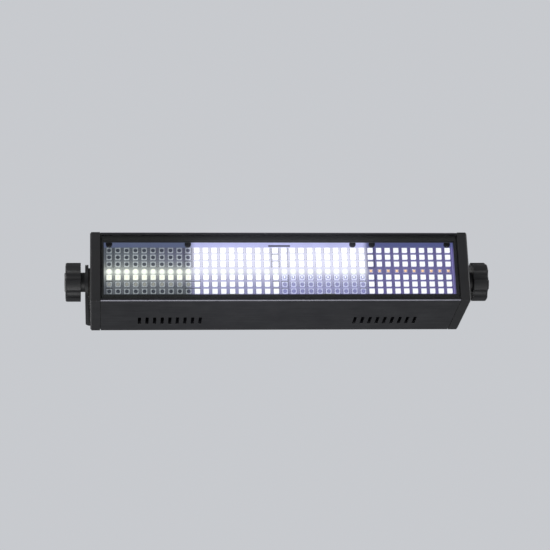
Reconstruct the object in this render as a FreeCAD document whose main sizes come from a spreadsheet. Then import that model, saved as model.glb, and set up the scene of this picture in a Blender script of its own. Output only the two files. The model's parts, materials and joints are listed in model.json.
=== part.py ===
"""LED strip batten: extruded housing, LED board behind glass, rear electronics and a tilting bracket.

Frame: +Z up, +X along the batten, the light leaves towards -Y. The origin is the bottom centre of the whole
thing with the bracket swung straight back. Millimetres.
"""

import math
import os
import re

import FreeCAD
import Part
import Sketcher
from FreeCAD import Rotation, Vector

SIZES = {
    # Where the body stands: the front edge of the housing and the bracket's pivot, measured back from it.
    "front_y": -57.0,
    "pivot_depth": 40.0,
    # Extruded housing.
    "body_height": 66.9,
    "body_depth": 76.0,
    "wall_thick": 2.6,
    "front_chamfer": 0.8,
    "profile_length": 327.2,
    "ledge_depth": 6.2,
    "ledge_thick": 2.0,
    "ledge_reach": 3.0,
    "web_depth": 14.5,
    "web_thick": 4.0,
    "fin_count": 7,
    "fin_span": 42.0,
    "fin_thick": 1.6,
    "fin_length": 15.5,
    "corner_block": 6.2,
    "rail_deep": 8.5,
    "rail_high": 5.8,
    "groove_rib": 1.1,
    "groove_reach": 1.8,
    "vent_depth": 52.0,
    "vent_long": 17.0,
    "vent_wide": 3.0,
    "vent_first": 72.0,
    "vent_pitch": 7.0,
    "vent_count": 9,
    # End caps.
    "cap_thick": 9.0,
    "seal_thick": 0.6,
    "cap_chamfer": 1.2,
    "cap_screw_front": 22.0,
    "cap_screw_rear": 71.6,
    "cap_screw_up": 27.4,
    "screw_head_radius": 2.8,
    "screw_head_high": 1.7,
    "screw_radius": 1.45,
    "pilot_radius": 1.5,
    "clear_radius": 1.65,
    "head_recess_radius": 3.2,
    "head_recess_deep": 2.2,
    "insert_radius": 6.0,
    "insert_deep": 8.0,
    "insert_bore": 4.05,
    # Front window: glass, gasket and mask.
    "glass_inset": 0.5,
    "glass_thick": 2.0,
    "front_fill_length": 326.2,
    "front_fill_height": 61.2,
    "gasket_thick": 2.2,
    "gasket_opening_length": 322.8,
    "gasket_opening_height": 52.5,
    "mask_thick": 1.5,
    "window_length": 321.6,
    "window_height": 51.3,
    # LED board. Columns are numbered 1 to 40 from the left, in four sections of ten.
    "board_length": 324.4,
    "board_height": 60.4,
    "board_thick": 1.6,
    "board_depth": 12.5,
    "pad_thick": 0.4,
    "column_pitch": 8.0,
    "section_pitch": 80.0,
    "row_first": 6.47,
    "row_pitch": 6.8,
    "package_side": 5.0,
    "package_high": 1.6,
    "lens_radius": 2.0,
    "lens_deep": 0.5,
    "white_side": 3.5,
    "white_high": 0.8,
    "dome_radius": 1.45,
    "dome_high": 1.35,
    "board_screw_up": 26.2,
    "board_screw_head": 3.0,
    "board_screw_high": 2.1,
    "board_screw_length": 5.2,
    "link_length": 20.0,
    "link_wide": 1.0,
    "link_high": 1.2,
    "link_up": 24.7,
    "connector_length": 12.0,
    "connector_wide": 3.2,
    "connector_high": 3.6,
    "connector_across": 44.0,
    "connector_up": -25.0,
    "lead_slot_length": 12.0,
    "lead_slot_wide": 2.6,
    "lead_slot_up": -28.5,
    # Tray with the power and driver boards.
    "tray_depth": 36.0,
    "tray_thick": 1.2,
    "tray_length": 325.0,
    "tray_height": 60.9,
    "standoff_radius": 2.6,
    "standoff_high": 5.0,
    "standoff_across": 62.0,
    "standoff_up": 20.0,
    "inner_board_length": 136.0,
    "inner_board_height": 48.0,
    "inner_board_across": 82.0,
    # Rear panel and what it carries, centred on these distances from the middle.
    "panel_thick": 2.0,
    "panel_screw_up": 28.6,
    "panel_screw_pitch": 72.0,
    "power_inner": 112.0,
    "power_outer": 142.0,
    "fuse_across": 87.0,
    "fan_across": 56.0,
    "eye_across": 87.0,
    "flange_wide": 26.0,
    "flange_tall": 31.0,
    "flange_thick": 2.0,
    "flange_hole": 12.0,
    "flange_screw_across": 9.5,
    "flange_screw_up": 12.0,
    "connector_body": 11.7,
    "connector_body_deep": 20.0,
    "power_collar": 11.4,
    "power_collar_high": 3.0,
    "power_cavity": 9.4,
    "power_cavity_deep": 15.0,
    "power_core": 5.6,
    "signal_cavity": 8.0,
    "signal_ring_outer": 9.7,
    "signal_ring_inner": 7.8,
    "signal_deep": 13.0,
    "contact_ring": 4.6,
    "contact_radius": 1.2,
    "contact_hole": 1.25,
    "latch_wide": 7.0,
    "latch_tall": 2.6,
    "latch_long": 3.0,
    "latch_up": 12.4,
    "latch_play": 0.08,
    "latch_proud": 2.2,
    "fuse_hole": 6.3,
    "fuse_flange": 8.5,
    "fuse_flange_thick": 2.2,
    "fuse_body": 6.2,
    "fuse_body_deep": 22.0,
    "fuse_bore": 4.0,
    "fuse_stem": 3.94,
    "fuse_knob": 5.8,
    "fuse_knob_high": 6.5,
    "fan_side": 40.0,
    "fan_deep": 10.0,
    "fan_bore": 18.8,
    "fan_screw_offset": 16.0,
    "fan_blade_tip": 18.1,
    "fan_hub": 10.4,
    "fan_hub_deep": 7.4,
    "fan_base": 10.0,
    "fan_base_thick": 1.6,
    "fan_strut_wide": 2.4,
    "fan_axle": 1.0,
    "fan_axle_bore": 1.06,
    "fan_blade_count": 7,
    "guard_thick": 1.0,
    "guard_ring_wide": 1.4,
    "guard_ring_pitch": 4.4,
    "guard_ear": 3.3,
    "bezel_length": 62.0,
    "bezel_height": 46.0,
    "bezel_thick": 1.6,
    "bezel_neck_length": 56.0,
    "bezel_neck_height": 40.0,
    "bezel_neck_deep": 4.0,
    "cutout_gap": 0.2,
    "display_up": 8.5,
    "display_long": 40.0,
    "display_tall": 19.0,
    "display_sight_long": 35.0,
    "display_sight_tall": 14.0,
    "display_glass": 1.2,
    "button_up": -11.5,
    "button_pitch": 13.0,
    "button_radius": 3.4,
    "button_bore": 3.48,
    "button_flange": 4.4,
    "button_flange_bore": 4.8,
    "button_flange_thick": 1.0,
    "button_proud": 1.4,
    "button_travel": 0.8,
    "button_stem": 1.5,
    "display_board_depth": 65.0,
    "display_board_length": 54.0,
    "display_board_height": 38.0,
    # Safety lug and earth stud.
    "lug_thick": 4.0,
    "lug_reach": 12.5,
    "lug_radius": 9.0,
    "lug_bore": 5.25,
    "lug_base_wide": 22.0,
    "lug_base_tall": 24.0,
    "lug_base_thick": 3.0,
    "earth_up": -20.0,
    # Bracket, pivots and lock knobs.
    "washer_radius": 13.0,
    "washer_thick": 1.6,
    "bracket_thick": 3.0,
    "bracket_width": 32.0,
    "bracket_reach": 74.0,
    "bracket_bend": 6.0,
    "bracket_end_radius": 15.8,
    "bracket_bore": 4.08,
    "bolt_bore": 5.25,
    "slot_across": 45.0,
    "slot_long": 22.0,
    "slot_wide": 8.5,
    "stud_radius": 4.0,
    "stud_in_insert": 7.0,
    "stud_in_knob": 11.0,
    "knob_gap": 0.05,
    "knob_hub_radius": 9.0,
    "knob_hub_thick": 4.0,
    "knob_radius": 18.0,
    "knob_thick": 14.0,
    "knob_groove": 5.6,
    "knob_groove_ring": 20.6,
    "knob_stud_bore": 4.02,
}

ALIAS = re.compile(r"[a-z][a-z_]*[a-z]")
COLUMNS_PER_SECTION = 10
SECTIONS = 4
SCREWED_COLUMNS = (1, 10, 29, 31.25, 40)
SIDES = (-1, 1)
PARTS_FOLDER = "parts"

doc = FreeCAD.newDocument("LedStripBatten")
sheet = doc.addObject("Spreadsheet::Sheet", "sizes")
for row, (alias, value) in enumerate(SIZES.items(), start=1):
    sheet.set(f"A{row}", alias)
    sheet.set(f"B{row}", str(value))
    sheet.setAlias(f"B{row}", alias)
doc.recompute()

nodes = []


def size(alias):
    """A driving dimension, read back from the sheet."""
    return float(sheet.get(alias))


def bind(thing, prop, formula):
    """Bind a property to a formula of sheet aliases."""
    text = ALIAS.sub(lambda m: f"sizes.{m.group(0)}" if m.group(0) in SIZES else m.group(0), str(formula))
    thing.setExpression(prop, text)


def place(thing, across, depth, up):
    """Stand a sub-part at a distance across, back from the front edge and up from mid-height."""
    bind(thing, "Placement.Base.x", across)
    bind(thing, "Placement.Base.y", f"front_y + ({depth})")
    bind(thing, "Placement.Base.z", f"body_height / 2 + ({up})")


def new_body(label, across="0", depth="0", up="0"):
    """A PartDesign body that becomes one sub-part."""
    body = doc.addObject("PartDesign::Body", label)
    body.Label = label
    body.AllowCompound = True
    place(body, across, depth, up)
    nodes.append(body)
    return body


def origin_feature(body, role):
    return next(item for item in body.Origin.OriginFeatures if item.Role == role)


def bound_constraint(sketch, constraint, name, formula):
    index = sketch.addConstraint(constraint)
    sketch.renameConstraint(index, name)
    bind(sketch, f"Constraints.{name}", formula)


def add_rectangle(sketch, across, up, wide, tall):
    """A rectangle about a centre, in formulas of aliases."""
    first = sketch.GeometryCount
    corners = [Vector(-1, -1, 0), Vector(1, -1, 0), Vector(1, 1, 0), Vector(-1, 1, 0)]
    for index, corner in enumerate(corners):
        sketch.addGeometry(Part.LineSegment(corner, corners[(index + 1) % 4]))
    for index in range(4):
        joined = first + (index + 1) % 4
        sketch.addConstraint(Sketcher.Constraint("Coincident", first + index, 2, joined, 1))
    sketch.addConstraint(Sketcher.Constraint("Horizontal", first))
    sketch.addConstraint(Sketcher.Constraint("Horizontal", first + 2))
    sketch.addConstraint(Sketcher.Constraint("Vertical", first + 1))
    sketch.addConstraint(Sketcher.Constraint("Vertical", first + 3))
    wide_rule = Sketcher.Constraint("DistanceX", first, 1, first, 2, 2.0)
    tall_rule = Sketcher.Constraint("DistanceY", first + 1, 1, first + 1, 2, 2.0)
    left_rule = Sketcher.Constraint("DistanceX", -1, 1, first, 1, -1.0)
    low_rule = Sketcher.Constraint("DistanceY", -1, 1, first, 1, -1.0)
    bound_constraint(sketch, wide_rule, f"wide_{first}", wide)
    bound_constraint(sketch, tall_rule, f"tall_{first}", tall)
    bound_constraint(sketch, left_rule, f"left_{first}", f"({across}) - ({wide}) / 2")
    bound_constraint(sketch, low_rule, f"low_{first}", f"({up}) - ({tall}) / 2")


def add_circle(sketch, across, up, radius):
    """A circle about a centre, in formulas of aliases."""
    index = sketch.addGeometry(Part.Circle(Vector(0.5, 0.5, 0), Vector(0, 0, 1), 1.0))
    bound_constraint(sketch, Sketcher.Constraint("Radius", index, 1.0), f"radius_{index}", radius)
    across_rule = Sketcher.Constraint("DistanceX", -1, 1, index, 3, 0.5)
    up_rule = Sketcher.Constraint("DistanceY", -1, 1, index, 3, 0.5)
    bound_constraint(sketch, across_rule, f"across_{index}", across)
    bound_constraint(sketch, up_rule, f"up_{index}", up)


DRAWERS = {"box": add_rectangle, "disc": add_circle}


def new_sketch(body, plane, at, shapes):
    """A sketch parallel to an origin plane, `at` along its axis, holding boxes and discs."""
    sketch = body.newObject("Sketcher::SketchObject", f"{body.Name}_outline")
    sketch.AttachmentSupport = [(origin_feature(body, plane), "")]
    sketch.MapMode = "FlatFace"
    sign = "-" if plane == "XZ_Plane" else ""
    bind(sketch, "AttachmentOffset.Base.z", f"{sign}({at})")
    for kind, *values in shapes:
        DRAWERS[kind](sketch, *values)
    return sketch


def slab(body, plane, at, length, *shapes):
    """Add material over [at, at + length] along the plane's axis."""
    feature = body.newObject("PartDesign::Pad", f"{body.Name}_pad")
    feature.Profile = new_sketch(body, plane, at, shapes)
    feature.Reversed = plane == "XZ_Plane"
    bind(feature, "Length", length)
    feature.Profile[0].Visibility = False
    body.Tip = feature
    doc.recompute()
    return feature


def cut(body, plane, at, length, *shapes):
    """Remove material over [at, at + length] along the plane's axis."""
    feature = body.newObject("PartDesign::Pocket", f"{body.Name}_pocket")
    feature.Profile = new_sketch(body, plane, at, shapes)
    feature.Reversed = plane != "XZ_Plane"
    bind(feature, "Length", length)
    feature.Profile[0].Visibility = False
    body.Tip = feature
    doc.recompute()
    return feature


def mirror(body, feature, plane):
    mirrored = body.newObject("PartDesign::Mirrored", f"{body.Name}_mirror")
    mirrored.Originals = [feature]
    mirrored.MirrorPlane = (origin_feature(body, plane), [""])
    body.Tip = mirrored
    doc.recompute()
    return mirrored


def row_of(body, feature, axis, span, count, reverse=False):
    pattern = body.newObject("PartDesign::LinearPattern", f"{body.Name}_row")
    pattern.Originals = [feature]
    pattern.Direction = (origin_feature(body, axis), [""])
    pattern.Reversed = reverse
    bind(pattern, "Length", span)
    bind(pattern, "Occurrences", count)
    body.Tip = pattern
    doc.recompute()
    return pattern


def ring_of(body, feature, axis, count):
    pattern = body.newObject("PartDesign::PolarPattern", f"{body.Name}_ring")
    pattern.Originals = [feature]
    pattern.Axis = (origin_feature(body, axis), [""])
    pattern.Angle = 360.0
    bind(pattern, "Occurrences", count)
    body.Tip = pattern
    doc.recompute()
    return pattern


def edges_where(feature, rule):
    return [f"Edge{number}" for number, edge in enumerate(feature.Shape.Edges, start=1) if rule(edge)]


def dress(body, kind, prop, amount, rule):
    """Fillet or chamfer the edges of the body's tip that a rule picks."""
    base = body.Tip
    feature = body.newObject(f"PartDesign::{kind}", f"{body.Name}_{kind.lower()}")
    feature.Base = (base, edges_where(base, rule))
    bind(feature, prop, amount)
    body.Tip = feature
    doc.recompute()
    return feature


def round_rear_face(body, radius):
    """Round the rim of the face that stands furthest back."""
    rear = body.Tip.Shape.BoundBox.YMax
    return dress(body, "Fillet", "Radius", radius, lambda edge: all_at(edge, "y", rear))


def runs_along(edge, axis):
    """True for a straight edge parallel to an axis."""
    if edge.Curve.TypeId != "Part::GeomLine":
        return False
    return abs(edge.tangentAt(edge.FirstParameter).dot(axis)) > 0.999


def all_at(edge, coordinate, value):
    """True when both ends of an edge lie at a value of x, y or z."""
    return all(abs(getattr(vertex.Point, coordinate) - value) < 0.01 for vertex in edge.Vertexes)


def shape_node(label, shape, across="0", depth="0", up="0"):
    """A sub-part whose shape is set directly."""
    feature = doc.addObject("Part::Feature", label)
    feature.Label = label
    feature.Shape = shape
    place(feature, across, depth, up)
    nodes.append(feature)
    return feature


def column_across(column):
    """The distance across of an LED column, as a formula."""
    return f"column_pitch * {column - 0.5 - COLUMNS_PER_SECTION * SECTIONS / 2}"


def pairs(across, up):
    """The four corners of a rectangle about the middle."""
    return [(f"{i} * ({across})", f"{j} * ({up})") for i in SIDES for j in SIDES]


def discs(points, radius):
    return [("disc", across, up, radius) for across, up in points]


# ---------------------------------------------------------------------------------------------- housing


def build_housing():
    body = new_body("housing")
    start = "-profile_length / 2"
    whole = "profile_length"
    inner = "body_height / 2 - wall_thick"
    slab(body, "YZ_Plane", start, whole, ("box", "body_depth / 2", "0", "body_depth", "body_height"))
    cavity = "body_height - 2 * wall_thick"
    cut(body, "YZ_Plane", start, whole, ("box", "web_depth / 2 - 1", "0", "web_depth + 2", cavity))
    web_back = "web_depth + web_thick"
    rear = f"body_depth - ({web_back})"
    bay = ("box", f"{web_back} + ({rear}) / 2 + 1", "0", f"{rear} + 2", cavity)
    cut(body, "YZ_Plane", start, whole, bay)
    ledge_up = f"{inner} - ledge_reach / 2"
    ledge = ("box", "ledge_depth + ledge_thick / 2", ledge_up, "ledge_thick", "ledge_reach")
    mirror(body, slab(body, "YZ_Plane", start, whole, ledge), "XY_Plane")
    block_up = f"{inner} - corner_block / 2"
    block = ("box", f"{web_back} + corner_block / 2", block_up, "corner_block", "corner_block")
    mirror(body, slab(body, "YZ_Plane", start, whole, block), "XY_Plane")
    rail = ("box", "body_depth - rail_deep / 2", f"{inner} - rail_high / 2", "rail_deep", "rail_high")
    mirror(body, slab(body, "YZ_Plane", start, whole, rail), "XY_Plane")
    rib_up = f"{inner} - groove_reach / 2"
    before = ("box", "tray_depth - groove_rib / 2 - 0.1", rib_up, "groove_rib", "groove_reach")
    behind_depth = "tray_depth + tray_thick + groove_rib / 2 + 0.1"
    behind = ("box", behind_depth, rib_up, "groove_rib", "groove_reach")
    mirror(body, slab(body, "YZ_Plane", start, whole, before, behind), "XY_Plane")
    fin = ("box", f"{web_back} + fin_length / 2", "-fin_span / 2", "fin_length", "fin_thick")
    row_of(body, slab(body, "YZ_Plane", start, whole, fin), "Z_Axis", "fin_span", "fin_count")
    for side in SIDES:
        vent = ("box", f"{side} * vent_first", "vent_depth", "vent_wide", "vent_long")
        opening = cut(body, "XY_Plane", "-body_height", "2 * body_height", vent)
        span = "vent_pitch * (vent_count - 1)"
        row_of(body, opening, "X_Axis", span, "vent_count", reverse=side < 0)
    cap_holes = [
        ("disc", depth, f"{side} * cap_screw_up", "pilot_radius")
        for depth in ("cap_screw_front", "cap_screw_rear")
        for side in SIDES
    ]
    cut(body, "YZ_Plane", start, "14", *cap_holes)
    cut(body, "YZ_Plane", "profile_length / 2 - 14", "14", *cap_holes)
    cut(body, "XZ_Plane", "web_depth", "3.6", *discs(board_screw_points(), "pilot_radius"))
    cut(body, "XZ_Plane", "body_depth - 7", "7", *discs(panel_screw_points(), "pilot_radius"))
    cut(body, "XZ_Plane", "web_depth", "26", *lead_slots())
    dress(body, "Chamfer", "Size", "front_chamfer", lambda edge: runs_along(edge, Vector(1, 0, 0))
          and all_at(edge, "y", 0) and abs(edge.Vertexes[0].Point.z) > size("body_height") / 2 - 0.01)


def board_screw_points():
    return [
        (column_across(column), f"{side} * board_screw_up")
        for column in SCREWED_COLUMNS
        for side in SIDES
    ]


def panel_screw_points():
    return [
        (f"{step} * panel_screw_pitch", f"{side} * panel_screw_up")
        for step in range(-2, 3)
        for side in SIDES
    ]


def lead_slots():
    return [
        ("box", f"{side} * connector_across", "lead_slot_up", "lead_slot_length", "lead_slot_wide")
        for side in SIDES
    ]


# --------------------------------------------------------------------------------------------- end caps


def cap_start(side):
    """The inner face of an end cap, across."""
    return f"{side} * (profile_length / 2 + seal_thick)"


def cap_screw_discs(radius):
    return [
        ("disc", depth, f"{side} * cap_screw_up", radius)
        for depth in ("cap_screw_front", "cap_screw_rear")
        for side in SIDES
    ]


def build_end_cap(label, side):
    body = new_body(label, cap_start(side))
    deep = "body_depth + panel_thick"
    first = "0" if side > 0 else "-cap_thick"
    slab(body, "YZ_Plane", first, "cap_thick", ("box", f"({deep}) / 2", "0", deep, "body_height"))
    outer = side * size("cap_thick")
    dress(body, "Chamfer", "Size", "cap_chamfer", lambda edge: all_at(edge, "x", outer))
    cut(body, "YZ_Plane", first, "cap_thick", *cap_screw_discs("clear_radius"))
    recess = "cap_thick - head_recess_deep" if side > 0 else "-cap_thick"
    cut(body, "YZ_Plane", recess, "head_recess_deep", *cap_screw_discs("head_recess_radius"))
    socket = "cap_thick - insert_deep" if side > 0 else "-cap_thick"
    cut(body, "YZ_Plane", socket, "insert_deep", ("disc", "pivot_depth", "0", "insert_radius + 0.02"))


def build_cap_seals():
    body = new_body("cap_seals")
    inner_height = "body_height - 5"
    for side in SIDES:
        at = "profile_length / 2" if side > 0 else "-profile_length / 2 - seal_thick"
        outline = ("box", "body_depth / 2", "0", "body_depth - 1", "body_height - 1")
        slab(body, "YZ_Plane", at, "seal_thick", outline)
        opening = ("box", "body_depth / 2 + 4", "0", "body_depth - 16", f"{inner_height} - 14")
        cut(body, "YZ_Plane", at, "seal_thick", opening)
        cut(body, "YZ_Plane", at, "seal_thick", *cap_screw_discs("clear_radius"))


def build_cap_screws():
    body = new_body("cap_screws")
    for side in SIDES:
        seat = "profile_length / 2 + seal_thick + cap_thick - head_recess_deep"
        head = seat if side > 0 else f"-({seat}) - screw_head_high"
        slab(body, "YZ_Plane", head, "screw_head_high", *cap_screw_discs("screw_head_radius"))
        socket = f"{seat} + screw_head_high - 1" if side > 0 else f"-({seat}) - screw_head_high"
        cut(body, "YZ_Plane", socket, "1", *cap_screw_discs("1.1"))
        reach = f"({seat}) - (profile_length / 2 - 12)"
        shank = "profile_length / 2 - 12" if side > 0 else f"-({seat})"
        slab(body, "YZ_Plane", shank, reach, *cap_screw_discs("screw_radius"))


def build_pivot_inserts():
    body = new_body("pivot_inserts", depth="pivot_depth")
    outer = "profile_length / 2 + seal_thick + cap_thick"
    for side in SIDES:
        at = f"{outer} - insert_deep" if side > 0 else f"-({outer})"
        slab(body, "YZ_Plane", at, "insert_deep", ("disc", "0", "0", "insert_radius"))
        bore = f"{outer} - stud_in_insert - 0.5" if side > 0 else f"-({outer})"
        cut(body, "YZ_Plane", bore, "stud_in_insert + 0.5", ("disc", "0", "0", "insert_bore"))


# ------------------------------------------------------------------------------------------ front window


def build_window():
    fill = ("box", "0", "0", "front_fill_length", "front_fill_height")
    glass = new_body("cover_glass", depth="glass_inset")
    slab(glass, "XZ_Plane", "0", "glass_thick", fill)
    dress(glass, "Chamfer", "Size", "0.3", lambda edge: all_at(edge, "y", 0))
    gasket = new_body("glass_gasket", depth="glass_inset + glass_thick")
    opening = ("box", "0", "0", "gasket_opening_length", "gasket_opening_height")
    slab(gasket, "XZ_Plane", "0", "gasket_thick", fill, opening)
    mask = new_body("window_mask", depth="glass_inset + glass_thick + gasket_thick")
    window = ("box", "0", "0", "window_length", "window_height")
    slab(mask, "XZ_Plane", "0", "mask_thick", fill, window)


# --------------------------------------------------------------------------------------------- LED board


def build_led_board():
    body = new_body("led_board", depth="board_depth")
    outline = ("box", "0", "0", "board_length", "board_height")
    slab(body, "XZ_Plane", "0", "board_thick", outline, *discs(board_screw_points(), "clear_radius"))
    cut(body, "XZ_Plane", "0", "board_thick", *lead_slots())
    pad = new_body("thermal_pad", depth="board_depth + board_thick")
    outline = ("box", "0", "0", "board_length - 2", "board_height - 0.6")
    slab(pad, "XZ_Plane", "0", "pad_thick", outline, *discs(board_screw_points(), "clear_radius"))
    cut(pad, "XZ_Plane", "0", "pad_thick", *lead_slots())


def build_board_screws():
    body = new_body("board_screws", depth="board_depth")
    points = board_screw_points()
    slab(body, "XZ_Plane", "-board_screw_high", "board_screw_high", *discs(points, "board_screw_head"))
    slots = [("box", across, up, "3.4", "0.7") for across, up in points]
    cut(body, "XZ_Plane", "-board_screw_high", "0.9", *slots)
    slots = [("box", across, up, "0.7", "3.4") for across, up in points]
    cut(body, "XZ_Plane", "-board_screw_high", "0.9", *slots)
    slab(body, "XZ_Plane", "0", "board_screw_length", *discs(points, "screw_radius"))
    tip = size("board_screw_high")
    dress(body, "Fillet", "Radius", "0.7", lambda edge: edge.Curve.TypeId == "Part::GeomCircle"
          and all_at(edge, "y", -tip) and abs(edge.Curve.Radius - size("board_screw_head")) < 0.01)


def build_board_items():
    link = new_body("board_link", depth="board_depth", up="link_up")
    slab(link, "XZ_Plane", "-link_high", "link_high", ("box", "0", "0", "link_length", "link_wide"))
    plugs = new_body("board_connectors", depth="board_depth", up="connector_up")
    shapes = [
        ("box", f"{side} * connector_across", "0", "connector_length", "connector_wide")
        for side in SIDES
    ]
    slab(plugs, "XZ_Plane", "-connector_high", "connector_high", *shapes)
    mouths = [
        ("box", f"{side} * connector_across + {step} * 2.5", "0.2", "1.8", "1.6")
        for side in SIDES
        for step in (-1.5, -0.5, 0.5, 1.5)
    ]
    cut(plugs, "XZ_Plane", "-connector_high", "1.2", *mouths)


def grid_of(body, feature, row_span, row_count, mirrored):
    """Repeat a feature over one section's columns and a block of rows."""
    steps = body.newObject("PartDesign::MultiTransform", f"{body.Name}_grid")
    steps.Originals = [feature]
    columns = doc.addObject("PartDesign::LinearPattern", f"{body.Name}_columns")
    columns.Direction = (origin_feature(body, "X_Axis"), [""])
    bind(columns, "Length", f"column_pitch * {COLUMNS_PER_SECTION - 1}")
    columns.Occurrences = COLUMNS_PER_SECTION
    chain = [columns]
    if row_count > 1:
        rows = doc.addObject("PartDesign::LinearPattern", f"{body.Name}_rows")
        rows.Direction = (origin_feature(body, "Z_Axis"), [""])
        bind(rows, "Length", row_span)
        rows.Occurrences = row_count
        chain.append(rows)
    if mirrored:
        flip = doc.addObject("PartDesign::Mirrored", f"{body.Name}_flip")
        flip.MirrorPlane = (origin_feature(body, "XY_Plane"), [""])
        chain.append(flip)
    steps.Transformations = chain
    body.Tip = steps
    doc.recompute()
    return steps


def build_rgb_packages():
    for section in range(SECTIONS):
        middle = f"section_pitch * {section - (SECTIONS - 1) / 2}"
        body = new_body(f"rgb_packages_{section + 1}", middle, "board_depth")
        first = f"column_pitch * {(1 - COLUMNS_PER_SECTION) / 2}"
        package = ("box", first, "row_first", "package_side", "package_side")
        block = slab(body, "XZ_Plane", "-package_high", "package_high", package)
        grid_of(body, block, "row_pitch * 2", 3, True)
        well = ("disc", first, "row_first", "lens_radius + 0.02")
        hollow = cut(body, "XZ_Plane", "-package_high", "lens_deep", well)
        grid_of(body, hollow, "row_pitch * 2", 3, True)


def led_positions(rows):
    """Every LED centre of the given rows, in millimetres."""
    count = COLUMNS_PER_SECTION * SECTIONS
    return [
        ((column - (count - 1) / 2) * size("column_pitch"), up)
        for column in range(count)
        for up in rows
    ]


def build_lenses():
    rows = [sign * (size("row_first") + step * size("row_pitch")) for step in range(3) for sign in SIDES]
    front = -size("package_high")
    lenses = [
        Part.makeCylinder(
            size("lens_radius"), size("lens_deep") - 0.02, Vector(across, front, up), Vector(0, 1, 0)
        )
        for across, up in led_positions(rows)
    ]
    shape_node("rgb_lenses", Part.makeCompound(lenses), depth="board_depth")
    side = size("white_side")
    high = size("white_high")
    bases = [
        Part.makeBox(side, high, side, Vector(across - side / 2, -high, up - side / 2))
        for across, up in led_positions([0.0])
    ]
    shape_node("white_packages", Part.makeCompound(bases), depth="board_depth")
    shape_node("white_domes", Part.makeCompound(white_domes()), depth="board_depth")


def white_domes():
    """A spherical cap of silicone on each white LED."""
    base = size("dome_radius")
    rise = size("dome_high")
    radius = (base * base + rise * rise) / (2 * rise)
    domes = []
    for across, up in led_positions([0.0]):
        foot = Vector(across, -size("white_high"), up)
        ball = Part.makeSphere(radius, foot + Vector(0, radius - rise, 0))
        block = Part.makeBox(2 * radius, rise, 2 * radius, foot - Vector(radius, rise, radius))
        domes.append(ball.common(block))
    return domes


# --------------------------------------------------------------------------------- tray and inner boards


def standoff_points():
    return [
        (f"{side} * inner_board_across + {across}", up)
        for side in SIDES
        for across, up in pairs("standoff_across", "standoff_up")
    ]


def build_tray():
    body = new_body("tray", depth="tray_depth")
    sheet_outline = ("box", "0", "0", "tray_length", "tray_height")
    slab(body, "XZ_Plane", "0", "tray_thick", sheet_outline, *discs(standoff_points(), "1.3"))
    cut(body, "XZ_Plane", "0", "tray_thick", *lead_slots())
    posts = new_body("standoffs", depth="tray_depth + tray_thick")
    points = standoff_points()
    slab(posts, "XZ_Plane", "0", "standoff_high", *discs(points, "standoff_radius"))
    slab(posts, "XZ_Plane", "-1.9", "1.9", *discs(points, "1.25"))
    slab(posts, "XZ_Plane", "standoff_high", "3.2", *discs(points, "1.25"))
    board_back = "tray_depth + tray_thick + standoff_high"
    outline = ("box", "0", "0", "inner_board_length", "inner_board_height")
    holes = discs(pairs("standoff_across", "standoff_up"), "1.4")
    for label, across in (("psu_board", "inner_board_across"), ("driver_board", "-inner_board_across")):
        board = new_body(label, across, board_back)
        slab(board, "XZ_Plane", "0", "1.6", outline, *holes)


def build_components():
    """Blocks and cans on the two inner boards: kind, across, up, size along X, size along Z, height."""
    power_parts = [
        ("box", -50, 12, 16, 14, 10.0),
        ("box", -50, -10, 20, 12, 8.0),
        ("can", -30, 12, 8, 8, 11.0),
        ("can", -28, -12, 8, 8, 11.0),
        ("box", -8, 4, 24, 22, 11.0),
        ("box", -8, -18, 22, 6, 9.0),
        ("box", 16, 14, 12, 12, 8.0),
        ("can", 14, -8, 5, 5, 10.0),
        ("can", 26, -8, 5, 5, 10.0),
        ("box", 40, 12, 10, 16, 9.0),
        ("box", 38, -14, 20, 8, 9.5),
        ("box", 52, 6, 6, 14, 7.0),
    ]
    driver_parts = [
        ("box", -50, 0, 12, 12, 1.6),
        ("box", -28, 12, 8, 8, 1.4),
        ("box", -28, -12, 8, 8, 1.4),
        ("box", -8, 12, 8, 8, 1.4),
        ("box", -8, -12, 8, 8, 1.4),
        ("box", 12, 12, 10, 10, 4.5),
        ("box", 12, -12, 10, 10, 4.5),
        ("can", 30, 10, 4, 4, 8.0),
        ("can", 30, -10, 4, 4, 8.0),
        ("box", 48, 0, 8, 24, 6.0),
    ]
    depth = "tray_depth + tray_thick + standoff_high + 1.6"
    shape_node("psu_components", component_group(power_parts), "inner_board_across", depth)
    shape_node("driver_components", component_group(driver_parts), "-inner_board_across", depth)


def component_group(parts):
    solids = []
    for kind, across, up, wide, tall, high in parts:
        if kind == "box":
            solids.append(Part.makeBox(wide, high, tall, Vector(across - wide / 2, 0, up - tall / 2)))
        else:
            solids.append(Part.makeCylinder(wide / 2, high, Vector(across, 0, up), Vector(0, 1, 0)))
    return Part.makeCompound(solids)


def lead(points, radius):
    """One round lead through a run of points."""
    pieces = []
    for start, end in zip(points, points[1:]):
        pieces.append(Part.makeCylinder(radius, (end - start).Length, start, end - start))
    for corner in points[1:-1]:
        pieces.append(Part.makeSphere(radius, corner))
    return pieces[0].multiFuse(pieces[1:])


def build_harness():
    """Leads from the board connectors, through the slots in the web and the tray, to the inner boards."""
    leads = []
    start_up = size("connector_up") - size("connector_wide") / 2
    slot_up = size("lead_slot_up")
    front = size("board_depth") - 1.4
    rear = size("tray_depth") + size("tray_thick") + 3.0
    for side in SIDES:
        for step in (-1.5, -0.5, 0.5, 1.5):
            across = side * size("connector_across") + step * 2.5
            run = [
                Vector(across, front, start_up),
                Vector(across, front, slot_up),
                Vector(across, rear, slot_up),
                Vector(across, rear, -18.0 + step),
            ]
            leads.append(lead(run, 0.8))
    shape_node("harness", Part.makeCompound(leads))


# -------------------------------------------------------------------------------------------- rear panel

REAR = "body_depth + panel_thick"
POWER_SPOTS = ("power_outer", "power_inner")
SIGNAL_SPOTS = ("-power_inner", "-power_outer")


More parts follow.
